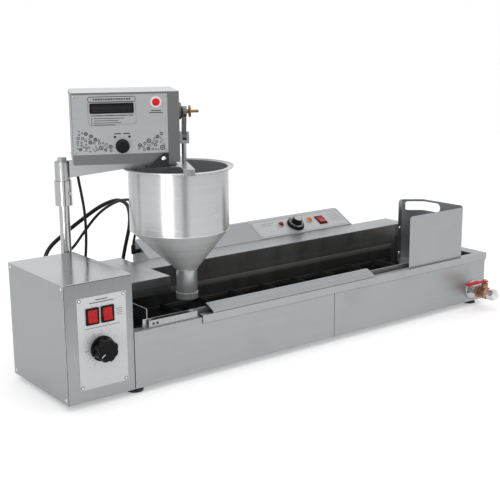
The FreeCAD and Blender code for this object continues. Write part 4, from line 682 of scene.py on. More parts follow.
@dataclass(frozen=True)
class LensPlastic(Finish):
    """Clear coloured plastic over a moulded grid, as on lamps and rockers."""

    def dress(self, graph: Graph) -> dict[str, object]:
        """Adds inner ribs and depth.

        Args:
            graph: the material's graph.

        Returns:
            What goes into the shader.
        """
        ribs = graph.node("ShaderNodeTexVoronoi", {"Vector": graph.point(), "Scale": 700})
        depth = graph.noise(graph.point(), 110)
        tone = graph.blend(ribs.outputs[0], self.tone(1.12), self.tone(0.82))
        deep = graph.spread(depth, 0.35, 0.7, 0, 0.4)
        return {
            "Base Color": graph.blend(deep, tone, self.tone(0.65)),
            "Roughness": self.rough(graph, depth, 0, 0.1),
            "Specular IOR Level": 0.3,
            "Coat Weight": 0.06,
            "Coat Roughness": 0.08,
            "Normal": self.edges(graph)["Normal"],
        }


@dataclass(frozen=True)
class DisplayGlass(Finish):
    """Smoked window over rows of unlit display cells.

    Attributes:
        cell: the colour of the cells.
        pitch: how many cells a metre holds along, across and up the head.
    """

    cell: Colour = (0.022, 0.022, 0.023)
    pitch: Point = (190, 190, 117.8)

    def dress(self, graph: Graph) -> dict[str, object]:
        """Adds the rows of cells.

        Args:
            graph: the material's graph.

        Returns:
            What goes into the shader.
        """
        point = graph.point(self.pitch, HEAD_YAW)
        parts = graph.node("ShaderNodeSeparateXYZ", {0: point}).outputs
        sides = [graph.calc("PINGPONG", parts[axis], 0.5) for axis in "XZ"]
        inside = graph.spread(graph.calc("MINIMUM", *sides), 0.05, 0.12)
        gloss = graph.noise(graph.point(), 60, 3, 0.6)
        return {
            "Base Color": graph.blend(inside, self.colour, self.cell),
            "Roughness": self.rough(graph, gloss, 0, 0.12),
            "Specular IOR Level": 0.14,
            "Coat Weight": 0.02,
            "Coat Roughness": 0.05,
        }


@dataclass(frozen=True)
class Ink(Finish):
    """Screen-printed ink with a slightly broken edge."""

    def dress(self, graph: Graph) -> dict[str, object]:
        """Adds thin and thick patches of ink.

        Args:
            graph: the material's graph.

        Returns:
            What goes into the shader.
        """
        thin = graph.noise(graph.point(), 1800, 2, 0.6)
        share = graph.spread(thin, 0.5, 0.8, 0, 0.35)
        return {
            "Base Color": graph.blend(share, self.colour, self.tone(1.8)),
            "Roughness": self.rough(graph, thin, 0, 0.15),
            "Specular IOR Level": 0.2,
        }


BOX_SIDE = BrushedSteel("steel_box_side", grey(158, -2), 0.38, Grain.UPRIGHT, contrast=0.025)
# Copy of the box's steel for its front faces, with painted shade that darkens it towards the top.
BOX_FRONT_SHADED = BrushedSteel(
    "steel_box_front_painted_shade", grey(160, -2), 0.34, Grain.UPRIGHT, dulled=(0.1, 0.25, 0.3)
)
BOX_LID = BrushedSteel("steel_box_lid", grey(178, -2), 0.17, Grain.DEEP, contrast=0.03, smudge=0.2)
STEEL_ALONG = BrushedSteel("steel_brushed_along", grey(167, -2), 0.36)
STEEL_DEEP = BrushedSteel("steel_brushed_deep", grey(168, -2), 0.34, Grain.DEEP)
STEEL_DECK = BrushedSteel(
    "steel_deck", grey(166, -2), 0.3, contrast=0.03, smudge=0.25, relief=0.01
)
STEEL_SLOPE = BrushedSteel("steel_slope", grey(160, -3), 0.34, contrast=0.03)
# Darker copy of the slope's steel for the control box's left end faces: painted shade.
STEEL_END_SHADED = BrushedSteel("steel_slope_end_painted_shade", grey(132, -2), 0.36, Grain.UPRIGHT)
STEEL_ARM = BrushedSteel(
    "steel_arm", grey(176, -1), 0.34, Grain.ALONG, HEAD_YAW, 0.08, edge_gain=1.1
)
STEEL_TRAY = BrushedSteel("steel_tray", grey(163, -2), 0.32, contrast=0.035)
STEEL_STRIP = BrushedSteel("steel_strip", grey(157, -2), 0.26)
STEEL_HOPPER = BrushedSteel(
    "steel_spun_hopper", grey(184, -1), 0.22, Grain.ROUND, contrast=0.04, smudge=0.25,
    metal=0.55, relief=0.01,
)
STEEL_CONE = BrushedSteel(
    "steel_spun_cone", grey(214, -1), 0.3, Grain.ROUND, contrast=0.06, smudge=0.4,
    metal=0.35, relief=0.01,
)
STEEL_PANEL = BrushedSteel("steel_front_panel", grey(167, -2), 0.44, metal=0.85)
STEEL_CHUTE = BrushedSteel("steel_chute", grey(166, -1), 0.28, Grain.UPRIGHT, contrast=0.08)
STEEL_BEAD = BrushedSteel("steel_bead", grey(200, -1), 0.28, Grain.ROUND, contrast=0.03, metal=0.7)
STEEL_PLAIN = BrushedSteel(
    "steel_plain_bright", grey(190, -1), 0.28, Grain.UPRIGHT, contrast=0.08
)
STEEL_DARK = OiledSteel("steel_oiled", (0.06, 0.058, 0.057), 0.42)
# Lighter copy of the oiled steel for the tank walls that look to the front, painted light, with a
# painted sheen below the rim's height.
TANK_WALL_LIT = OiledSteel(
    "steel_tank_wall_painted_sheen", (0.11, 0.107, 0.105), 0.42, (0.088, 0.085, 0.083),
    wiped=(0.136, 0.128, 0.35),
)
# Rail steel lightened towards a bright bare colour above a height: a painted sheen along the
# rails' tops.
RAIL_STEEL = OiledSteel(
    "steel_rail", (0.06, 0.058, 0.057), 0.42, bare=(0.3, 0.295, 0.29), wiped=(0.108, 0.117, 0.6)
)
CHROME = PolishedMetal("chrome_plate", grey(176), 0.13)
SCREW_CHROME = PolishedMetal("screw_plate", grey(236), 0.16)
ZINC = CastMetal("zinc_plated_steel", grey(186, -1), 0.32, (0.25, 0.24, 0.22))
DRIVE_ZINC = CastMetal("drive_zinc", grey(112), 0.36, (0.06, 0.06, 0.06))
CAP_ZINC = CastMetal("cap_zinc", grey(224, -1), 0.3, (0.4, 0.4, 0.4))
# Dark copy for the gusset's faces that look to the front: painted shade.
GUSSET_SHADED = CastMetal("gusset_front_painted_shade", grey(58, -1), 0.4, (0.04, 0.04, 0.04))
HANGER_ZINC = CastMetal("hanger_steel", grey(112, -1), 0.36)
NICKEL_SHEATH = CastMetal("heater_sheath", grey(70, 1), 0.4, (0.03, 0.025, 0.02), 900)
BRONZE = CastMetal("cast_bronze", screen(168, 128, 104), 0.32, (0.07, 0.04, 0.03), 500)
AGED_BRASS = CastMetal("aged_brass", screen(150, 116, 78), 0.3, (0.09, 0.05, 0.03), 900)
BRASS = CastMetal("turned_brass", screen(186, 148, 92), 0.28, (0.12, 0.07, 0.03), 900)
CASE_PAINT = Enamel("case_paint", grey(116, -1), 0.36)
# Lighter copy of the case paint for the head's top faces: painted light for the top's bright
# reflection.
CASE_TOP_LIT = Enamel("case_top_painted_light", grey(196, -1), 0.34, 0.6)
MOTOR_PAINT = Enamel("motor_paint", grey(96), 0.42, 0.3)
BOX_FILM = PrintedFilm("box_plate_film", grey(196, -1), 0.4)
SLOPE_FILM = PrintedFilm("slope_plate_film", grey(180, -1), 0.38)
HEAD_FILM = PrintedFilm("head_plate_film", grey(170, -2), 0.42, HEAD_YAW)
BLACK_PLASTIC = Moulding("black_moulding", (0.003, 0.003, 0.003), 0.24, 0.004, 0.14)
BLACK_SATIN = Moulding("black_satin_moulding", (0.005, 0.005, 0.005), 0.36, 0.008, 0.16)
RUBBER = Moulding("black_rubber", (0.008, 0.008, 0.008), 0.28, 0.05, 0.5, 900)
CORD_JACKET = Moulding("cord_jacket", (0.007, 0.007, 0.007), 0.4, skin=1100)
LEVER_VINYL = Moulding("lever_vinyl", screen(196, 18, 24), 0.34)
BUTTON_RED = Moulding("button_red", screen(218, 8, 12), 0.28)
COLLAR_GREY = Moulding("collar_grey", grey(226), 0.35, 0.02)
ROCKER_RED = LensPlastic("rocker_red", screen(176, 4, 8), 0.24)
LENS_RED = LensPlastic("lens_red", screen(120, 22, 24), 0.2)
LENS_AMBER = LensPlastic("lens_amber", screen(214, 122, 22), 0.2)
GLASS = DisplayGlass("display_glass_dark", (0.006, 0.006, 0.006), 0.14)
INK_BLACK = Ink("ink_black", grey(22), 0.45)
INK_GREY = Ink("ink_grey", grey(62), 0.45)
INK_WHITE = Ink("ink_white", grey(236), 0.4)
# Dark ink for joints and for painted shadow lines.
SEAM_AND_SHADOW_DARK = Ink("seam_shadow", grey(54), 0.6)


def coat(piece: Piece, finish: Finish) -> None:
    """Gives a piece one finish all over."""
    piece.data.materials.clear()
    piece.data.materials.append(finish.material())


def coat_faces(node: str, finish: Finish, test: Test) -> None:
    """Gives some faces of a node a finish of their own.

    Args:
        node: the node's name.
        finish: the finish of those faces.
        test: says of a face's centre in metres and its normal whether it is one of them.
    """
    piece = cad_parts[node]
    piece.data.materials.append(finish.material())
    last = len(piece.data.materials) - 1
    turn = piece.matrix_world.to_3x3()
    for face in piece.data.polygons:
        if test(piece.matrix_world @ face.center, turn @ face.normal):
            face.material_index = last


class Bench:
    """Blender's own modelling operators, used one after another as by hand, in millimetres."""

    @staticmethod
    def active() -> Piece:
        """Gives the piece that is being worked on."""
        return bpy.context.view_layer.objects.active

    @classmethod
    def clear(cls) -> None:
        """Leaves edit mode with nothing selected."""
        if cls.active() is not None and cls.active().mode != "OBJECT":
            bpy.ops.object.mode_set(mode="OBJECT")
        bpy.ops.object.select_all(action="DESELECT")

    @classmethod
    def take(cls, piece: Piece) -> None:
        """Selects one piece alone and makes it the active one.

        Args:
            piece: the piece.
        """
        cls.clear()
        piece.select_set(True)
        bpy.context.view_layer.objects.active = piece

    @classmethod
    def start(cls, name: str, add: Callable, **settings: object) -> Piece:
        """Adds a primitive and opens it for editing with all of it selected.

        Args:
            name: the piece's name.
            add: the operator that adds the primitive.
            **settings: its sizes.

        Returns:
            The piece, in edit mode.
        """
        cls.clear()
        add(**settings)
        piece = cls.active()
        piece.name = name
        piece.data.name = name
        bpy.ops.object.mode_set(mode="EDIT")
        bpy.ops.mesh.select_mode(type="VERT")
        bpy.ops.mesh.select_all(action="SELECT")
        return piece

    @classmethod
    def block(cls, name: str, width: float, depth: float, height: float) -> Piece:
        """Starts a block that stands on z 0, centred on x and y.

        Args:
            name: the piece's name.
            width: its size along x.
            depth: its size along y.
            height: its size along z.

        Returns:
            The piece, in edit mode.
        """
        piece = cls.start(name, bpy.ops.mesh.primitive_cube_add, size=1)
        bpy.ops.transform.resize(value=(width, depth, height))
        bpy.ops.transform.translate(value=(0, 0, height / 2))
        return piece

    @classmethod
    def flat(cls, name: str, width: float, height: float) -> Piece:
        """Starts a flat rectangle on z 0, centred.

        Args:
            name: the piece's name.
            width: its size along x.
            height: its size along y.

        Returns:
            The piece, in edit mode.
        """
        piece = cls.start(name, bpy.ops.mesh.primitive_plane_add, size=1)
        bpy.ops.transform.resize(value=(width, height, 1))
        return piece

    @classmethod
    def rim(cls, name: str, size: Pair, radius: float, steps: int, line: float) -> Piece:
        """Starts a flat frame with rounded corners.

        Args:
            name: the piece's name.
            size: its outer width and height.
            radius: radius of its corners.
            steps: how many steps a corner has.
            line: width of the frame itself.

        Returns:
            The piece, in edit mode.
        """
        piece = cls.flat(name, *size)
        bpy.ops.mesh.bevel(offset=radius, segments=steps, affect="VERTICES")
        cls.hollow(line)
        return piece

    @staticmethod
    def hollow(line: float) -> None:
        """Leaves only the outer line of the open flat face.

        Args:
            line: width of what is left.
        """
        bpy.ops.mesh.select_mode(type="FACE")
        bpy.ops.mesh.select_all(action="SELECT")
        bpy.ops.mesh.inset(thickness=line, depth=0)
        bpy.ops.mesh.delete(type="FACE")

    @classmethod
    def turned(cls, name: str, outline: Outline, steps: int = 32) -> Piece:
        """Spins an outline of radius and height about z, as on a lathe.

        Args:
            name: the piece's name.
            outline: points from the axis and back to it, or a closed ring.
            steps: how many steps the spin has.

        Returns:
            The closed piece, out of edit mode.
        """
        piece = cls.flat(name, 1, 1)
        bpy.ops.mesh.merge(type="CENTER")
        bpy.ops.transform.translate(value=(outline[0][0], 0, outline[0][1]))
        for last, point in zip(outline, outline[1:]):
            step = (point[0] - last[0], 0, point[1] - last[1])
            bpy.ops.mesh.extrude_vertices_move(TRANSFORM_OT_translate={"value": step})
        bpy.ops.mesh.select_all(action="SELECT")
        bpy.ops.mesh.spin(steps=steps, angle=math.tau, center=(0, 0, 0), axis=(0, 0, 1))
        bpy.ops.mesh.select_all(action="SELECT")
        bpy.ops.mesh.remove_doubles(threshold=0.001)
        bpy.ops.mesh.normals_make_consistent(inside=False)
        cls.clear()
        return piece

    @classmethod
    def round_edges(cls, test: Test, radius: float, steps: int) -> None:
        """Rounds some edges of the open piece.

        Args:
            test: says of an edge's middle and direction whether it is one of them.
            radius: radius of the rounding.
            steps: how many steps it has.
        """
        bpy.ops.mesh.select_mode(type="EDGE")
        bpy.ops.mesh.select_all(action="DESELECT")
        data = cls.active().data
        for edge in bmesh.from_edit_mesh(data).edges:
            one, other = (vertex.co for vertex in edge.verts)
            edge.select_set(test((one + other) / 2, (other - one).normalized()))
        bmesh.update_edit_mesh(data)
        bpy.ops.mesh.bevel(offset=radius, segments=steps, affect="EDGES")

    @classmethod
    def round_top(cls, height: float, radius: float, steps: int) -> None:
        """Rounds the edges that lie level at a height."""
        cls.round_edges(
            lambda middle, way: abs(middle.z - height) < 1e-3 and abs(way.z) < 0.1, radius, steps
        )

    @classmethod
    def move(cls, piece: Piece, matrix: Matrix) -> None:
        """Leaves edit mode and moves a piece's mesh."""
        cls.clear()
        piece.data.transform(matrix)

    @classmethod
    def modify(cls, piece: Piece, kind: str, **settings: object) -> None:
        """Adds a modifier to a piece and applies it.

        Args:
            piece: the piece.
            kind: the modifier's type.
            **settings: the modifier's own properties.
        """
        cls.take(piece)
        modifier = piece.modifiers.new(kind.lower(), kind)
        for name, value in settings.items():
            setattr(modifier, name, value)
        bpy.ops.object.modifier_apply(modifier=modifier.name)

    @classmethod
    def join(cls, pieces: Sequence[Piece], name: str) -> Piece:
        """Joins pieces into the first of them.

        Args:
            pieces: the pieces.
            name: the name of the whole.

        Returns:
            The joined piece.
        """
        cls.take(pieces[0])
        for piece in pieces[1:]:
            piece.select_set(True)
        if len(pieces) > 1:
            bpy.ops.object.join()
        pieces[0].name = name
        return pieces[0]

    @classmethod
    def settle(
        cls, piece: Piece, matrix: Matrix, finish: Finish, body: str, slot: str, crease: float = 35
    ) -> None:
        """Puts a modelled piece in its place, dresses it and lets it ride.

        Args:
            piece: the piece, modelled in millimetres at the origin.
            matrix: its place.
            finish: its surface.
            body: the moving body that carries it.
            slot: the record's material slot; not used.
            crease: the angle past which an edge stays sharp.
        """
        cls.take(piece)
        bpy.ops.object.shade_smooth_by_angle(angle=math.radians(crease))
        piece.data.transform(matrix)
        if matrix.determinant() < 0:
            piece.data.flip_normals()
        coat(piece, finish)
        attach(piece, body)
        LOG.info("%s: %d faces on %s", piece.name, len(piece.data.polygons), body)


class Printing:
    """Ink on one plate, laid down shape by shape, then raised and joined."""

    thickness: ClassVar[float] = 0.08

    def __init__(self, name: str) -> None:
        """Starts an empty print."""
        self.name = name
        self.shapes: list[Piece] = []

    def keep(self, x: float, y: float, turn: float = 0) -> None:
        """Lays the active flat shape at a place on the plate."""
        self.shapes.append(Bench.active())
        Bench.move(Bench.active(), shift(x, y) @ rotation(turn))

    def bars(self, *rows: Sequence[float]) -> None:
        """Prints bars, each given by its centre's x and y, width, height and any turn.

        Args:
            *rows: the bars' measures.
        """
        for x, y, width, height, *turn in rows:
            Bench.flat("print_bar", width, height)
            self.keep(x, y, *turn)

    @staticmethod
    def circle(name: str, radius: float, sides: int) -> None:
        """Starts a filled circle."""
        add = bpy.ops.mesh.primitive_circle_add
        Bench.start(name, add, vertices=sides, radius=radius, fill_type="NGON")

    def spot(self, x: float, y: float, radius: float, sides: int = 16) -> None:
        """Prints a round spot."""
        self.circle("print_spot", radius, sides)
        self.keep(x, y)

    def ring(self, x: float, y: float, radius: float, line: float, sides: int = 28) -> None:
        """Prints a ring.

        Args:
            x: its centre.
            y: its centre.
            radius: its outer radius.
            line: width of its line.
            sides: how many sides it has.
        """
        self.circle("print_ring", radius, sides)
        Bench.hollow(line)
        self.keep(x, y)

    def frame(self, x: float, y: float, size: Pair, radius: float, line: float) -> None:
        """Prints a rounded frame about its centre."""
        Bench.rim("print_frame", size, radius, 8, line)
        self.keep(x, y)

    def figure(self, x: float, y: float, words: str, size: float) -> None:
        """Prints plain numbers or marks.

        Args:
            x: their middle.
            y: their middle.
            words: what they say.
            size: their height.
        """
        Bench.clear()
        bpy.ops.object.text_add()
        text = Bench.active().data
        text.body = words
        text.size = size
        text.align_x = "CENTER"
        text.align_y = "CENTER"
        text.resolution_u = 3
        bpy.ops.object.convert(target="MESH")
        self.keep(x, y)

    def dial(
        self, centre: Pair, ticks: Pair, labels: Sequence[str], start: float, sweep: float,
        size: float,
    ) -> None:
        """Prints a ring of ticks with plain numbers outside them.

        Args:
            centre: the dial's centre.
            ticks: radii where the ticks start and where the long ones end.
            labels: the numbers, one at each long tick, clockwise.
            start: angle of the first tick, anticlockwise from three o'clock.
            sweep: how far the dial runs clockwise.
            size: height of the numbers.
        """
        inner, outer = ticks
        steps = (len(labels) - 1) * 2
        for step in range(steps + 1):
            angle = math.radians(start - sweep * step / steps)
            across, upward = math.cos(angle), math.sin(angle)
            end = (inner + outer) / 2 if step % 2 else outer
            middle = (inner + end) / 2
            x, y = centre[0] + middle * across, centre[1] + middle * upward
            self.bars((x, y, end - inner, 0.7, math.degrees(angle)))
            if step % 2 == 0:
                reach = outer + size * 0.8
                x, y = centre[0] + reach * across, centre[1] + reach * upward
                self.figure(x, y, labels[step // 2], size)

    def settle(self, matrix: Matrix, ink: Finish, body: str, slot: str) -> None:
        """Joins the shapes, raises them by the ink's thickness and puts them in place.

        Args:
            matrix: the place of the plate's origin.
            ink: the print's finish.
            body: the moving body that carries it.
            slot: the record's material slot.
        """
        piece = Bench.join(self.shapes, self.name)
        Bench.modify(piece, "SOLIDIFY", thickness=self.thickness, offset=1)
        Bench.settle(piece, matrix, ink, body, slot, 20)


class Fastener(Enum):
    """The kinds of fastener."""

    SCREW = "screw"
    RIVET = "rivet"


@dataclass
class Fasteners:
    """Screws and rivets, each modelled once and copied to its places.

    Attributes:
        masters: the modelled originals, by kind and head radius.
    """

    masters: dict[tuple[Fastener, float], Piece] = field(default_factory=dict)

    @staticmethod
    def screw(radius: float) -> Piece:
        """Models a pan-head screw with a crossed recess.

        Args:
            radius: its head's radius.

        Returns:
            The head.
        """
        tall = radius * 0.5
        outline = [(0, 0), (radius, 0), (radius, tall * 0.35)]
        outline += [(radius * 0.86, tall * 0.8), (radius * 0.5, tall), (0, tall)]
        piece = Bench.turned("screw_master", outline, 20)
        for turn in (0, 90):
            bar = Bench.block("recess", radius * 1.1, radius * 0.24, tall)
            Bench.move(bar, shift(z=tall * 0.45) @ rotation(turn))
            Bench.modify(piece, "BOOLEAN", operation="DIFFERENCE", object=bar)
            bpy.data.objects.remove(bar, do_unlink=True)
        return piece

    @staticmethod
    def rivet(radius: float) -> Piece:
        """Models a domed rivet head.

        Args:
            radius: its radius.

        Returns:
            The head.
        """
        outline = [(0, 0), (radius, 0), (radius, radius * 0.12)]
        for angle in map(math.radians, (25, 50, 75)):
            outline.append((radius * math.cos(angle), radius * (0.12 + 0.42 * math.sin(angle))))
        return Bench.turned("rivet_master", [*outline, (0, radius * 0.55)], 20)

    def put(
        self, kind: Fastener, radius: float, name: str, matrices: Iterable[Matrix],
        finish: Finish, body: str = "base",
    ) -> None:
        """Copies a fastener to each of its places, numbered from 1.

        Args:
            kind: which fastener.
            radius: its head's radius.
            name: the copies' name, before the number.
            matrices: their places.
            finish: their surface.
            body: the moving body that carries them.
        """
        key = (kind, radius)
        if key not in self.masters:
            model = self.screw if kind is Fastener.SCREW else self.rivet
            self.masters[key] = model(radius)
        for number, matrix in enumerate(matrices, 1):
            twin = self.masters[key].copy()
            twin.data = twin.data.copy()
            twin.name = f"{name}_{number}"
            bpy.context.scene.collection.objects.link(twin)
            Bench.settle(twin, matrix, finish, body, "zinc_steel")

    def clear_away(self) -> None:
        """Takes the originals away once all copies are placed."""
        for master in self.masters.values():
            bpy.data.objects.remove(master, do_unlink=True)


@dataclass
class Assembly:
    """A sub-assembly: it dresses its nodes of the frame and adds its own fine pieces.

    Attributes:
        fasteners: the stock of screws and rivets.
        finishes: the finish of each node of the frame.
    """

    fasteners: Fasteners
    finishes: ClassVar[dict[str, Finish]] = {}

    def build(self) -> None:
        """Dresses the nodes, then adds the fine pieces."""
        for node, finish in self.finishes.items():
            coat(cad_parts[node], finish)
            LOG.info("%s: %s", node, finish.name)
        self.detail()

    def detail(self) -> None:
        """Adds the fine pieces."""

    @staticmethod
    def bezel(
        name: str, opening: Pair, section: Pair, matrix: Matrix, body: str = "base"
    ) -> None:
        """Adds a black rounded frame about an opening.

        Args:
            name: the piece's name.
            opening: width and height that it leaves free.
            section: width of the frame itself, and its height.
            matrix: its place.
            body: the moving body that carries it.
        """
        rim, tall = section
        size = (opening[0] + 2 * rim, opening[1] + 2 * rim)
        piece = Bench.rim(name, size, min(1.5, rim), 4, rim)
        Bench.modify(piece, "SOLIDIFY", thickness=tall, offset=1)
        Bench.modify(piece, "BEVEL", width=0.35, segments=2, limit_method="ANGLE")
        Bench.settle(piece, matrix, BLACK_PLASTIC, body, "black_plastic")


@dataclass(frozen=True)
class Cord:
    """A lead behind the machine, on its own smooth line.

    Attributes:
        name: the piece's name.
        node: the frame's solid that it stands for.
        points: its route in corner coordinates.
        diameter: its thickness.
        length: its length along the line.
        turning: whether its first end lies on the turning head; such a lead is made a mesh of its
            own.
    """

    name: str
    node: str
    points: tuple[Point, ...]
    diameter: float
    length: float
    turning: bool = False

    def build(self) -> None:
        """Makes the lead as a tube: a mesh of its own for a turning lead, otherwise a curve riding
        on the base.
        """
        lead = self.line()
        path = None
        if self.turning:
            path = [tuple(vertex.co) for vertex in bpy.data.meshes.new_from_object(lead).vertices]
        lead.data.bevel_depth = self.diameter * MM / 2
        lead.data.bevel_resolution = 5
        lead.data.use_fill_caps = True
        if self.turning:
            Bench.take(lead)
            bpy.ops.object.convert(target="MESH")
            lead = Bench.active()
            lead.name = self.name
            bpy.ops.object.shade_smooth_by_angle(angle=math.radians(50))
        coat(lead, CORD_JACKET)
        corner(*self.points[0])
        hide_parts(self.node)
        if self.turning:
            start, end = corner(*self.points[-2]), corner(*self.points[1])
            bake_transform(lead)
        else:
            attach(lead, "base")
        LOG.info("%s: %.0f mm of %.0f mm cord", self.name, self.length, self.diameter)

    def line(self) -> Piece:
        """Lays the smooth line of the lead, with no thickness yet.

        Returns:
            The curve of one open spline, in metres.
        """
        data = bpy.data.curves.new(self.name, "CURVE")
        data.dimensions = "3D"
        spline = data.splines.new("NURBS")
        spline.points.add(len(self.points) - 1)
        for control, point in zip(spline.points, self.points):
            control.co = (*corner(*point), 1)
        spline.order_u = 3
        spline.use_endpoint_u = True
        spline.resolution_u = 12
        curve = bpy.data.objects.new(self.name, data)
        bpy.context.scene.collection.objects.link(curve)
        return curve


CORDS = (
    Cord(
        "head_cord", "cord_head",
        ((38, 281, 411), (40.5, 280.5, 383), (47, 281, 348), (52.5, 280, 309),
         (55, 281.5, 268), (53, 280.5, 230), (50, 282, 197), (49.5, 282, 171)),
        6, 241.3, True,
    ),
    Cord(
        "power_cord", "cord_power",
        ((-45, 248, 196), (-43, 292, 203), (-17, 325, 226), (29, 336, 251),
         (76, 336, 278), (125, 340, 302), (174, 353, 309), (214, 380, 293),
         (240, 410, 264), (251, 430, 226), (245, 440, 184), (236, 443, 142),
         (226, 442, 90), (222, 412, 56), (220, 370, 54)),
        9, 667.2,
    ),
    Cord(
        "signal_cord", "cord_signal",
        ((-77, 248, 180), (-71, 283, 184), (-43, 302, 192), (-7, 299, 205),
         (26, 291, 226), (56, 292, 260), (98, 300, 296), (150, 318, 311),
         (203, 350, 307), (239, 366, 290), (257, 384, 258), (257, 398, 232),
         (247, 404, 206), (243.5, 405, 182)),
        6, 527.8,
    ),
)


@dataclass
class FryerBody(Assembly):
    """Pan, panels, rims, feet, tank and heater."""

    finishes = {
        "body_pan": STEEL_ALONG,
        "front_panel_left": STEEL_PANEL,
        "front_panel_right": STEEL_PANEL,
        "right_end_panel": STEEL_DEEP,
        "front_rim": STEEL_ALONG,
        "rear_rim": STEEL_ALONG,
        "rear_deck": STEEL_DECK,
        "front_cover_strip": STEEL_STRIP,
        "feet": RUBBER,
        "oil_tank": STEEL_DARK,
        "heating_element": NICKEL_SHEATH,
        "thermostat_probe": NICKEL_SHEATH,
    }
    screws: tuple[Point, ...] = ((6, 0, 11), (1034, 0, 11))
    screw_radius: float = 2.6
    panel_joint: float = 522.75
    rim_start: float = 161
    rim_end: float = 1041
    rim_bottom: float = 103
    seam: float = 1.3

    def detail(self) -> None:
        """Adds the panel seam, a painted shadow line under the rim's lip and the panel screws, and
        coats walls that look to the front.
        """
        # The tank's walls that look to the front take the lighter copy with painted light and
        # painted sheen.
        coat_faces("oil_tank", TANK_WALL_LIT, faces_front)
        coat_faces("rear_rim", STEEL_DARK, faces_front)
        seams = Printing("front_panel_seam_and_lip_shadow")
        middle, length = (self.rim_start + self.rim_end) / 2, self.rim_end - self.rim_start
        # The first bar is the dark joint between the panels; the second is a painted shadow under
        # the front rim's lip.
        seams.bars(
            (self.panel_joint, self.rim_bottom / 2, self.seam, self.rim_bottom - 1),
            (middle, self.rim_bottom - self.seam / 2, length, self.seam),
        )
        seams.settle(Place(corner(0, 0, 0)).matrix(out=INK_LIFT), SEAM_AND_SHADOW_DARK, "base", "rubber")
        places = [Place(corner(*spot)).matrix() for spot in self.screws]
        self.fasteners.put(
            Fastener.SCREW, self.screw_radius, "front_panel_screw", places, ZINC
        )


@dataclass
class Conveyor(Assembly):
    """Rails, shafts, chains and flights in the tank, and the end plate with its chute."""

    finishes = {
        "conveyor_rails": RAIL_STEEL,
        "conveyor_end_plate": STEEL_CHUTE,
        "drive_shaft": STEEL_DARK,
        "idler_shaft": STEEL_DARK,
        "chains": STEEL_DARK,
        "flights": STEEL_DARK,
        "shaft_bearings": BRASS,
        "motor_sprocket": STEEL_DARK,
    }
    screw_at: Point = (31.5, 12, 122)
    screw_radius: float = 2.2

    def detail(self) -> None:
        """Adds the end plate's screw."""
        places = [Place(corner(*self.screw_at)).matrix()]
        self.fasteners.put(Fastener.SCREW, self.screw_radius, "end_plate_screw", places, ZINC)


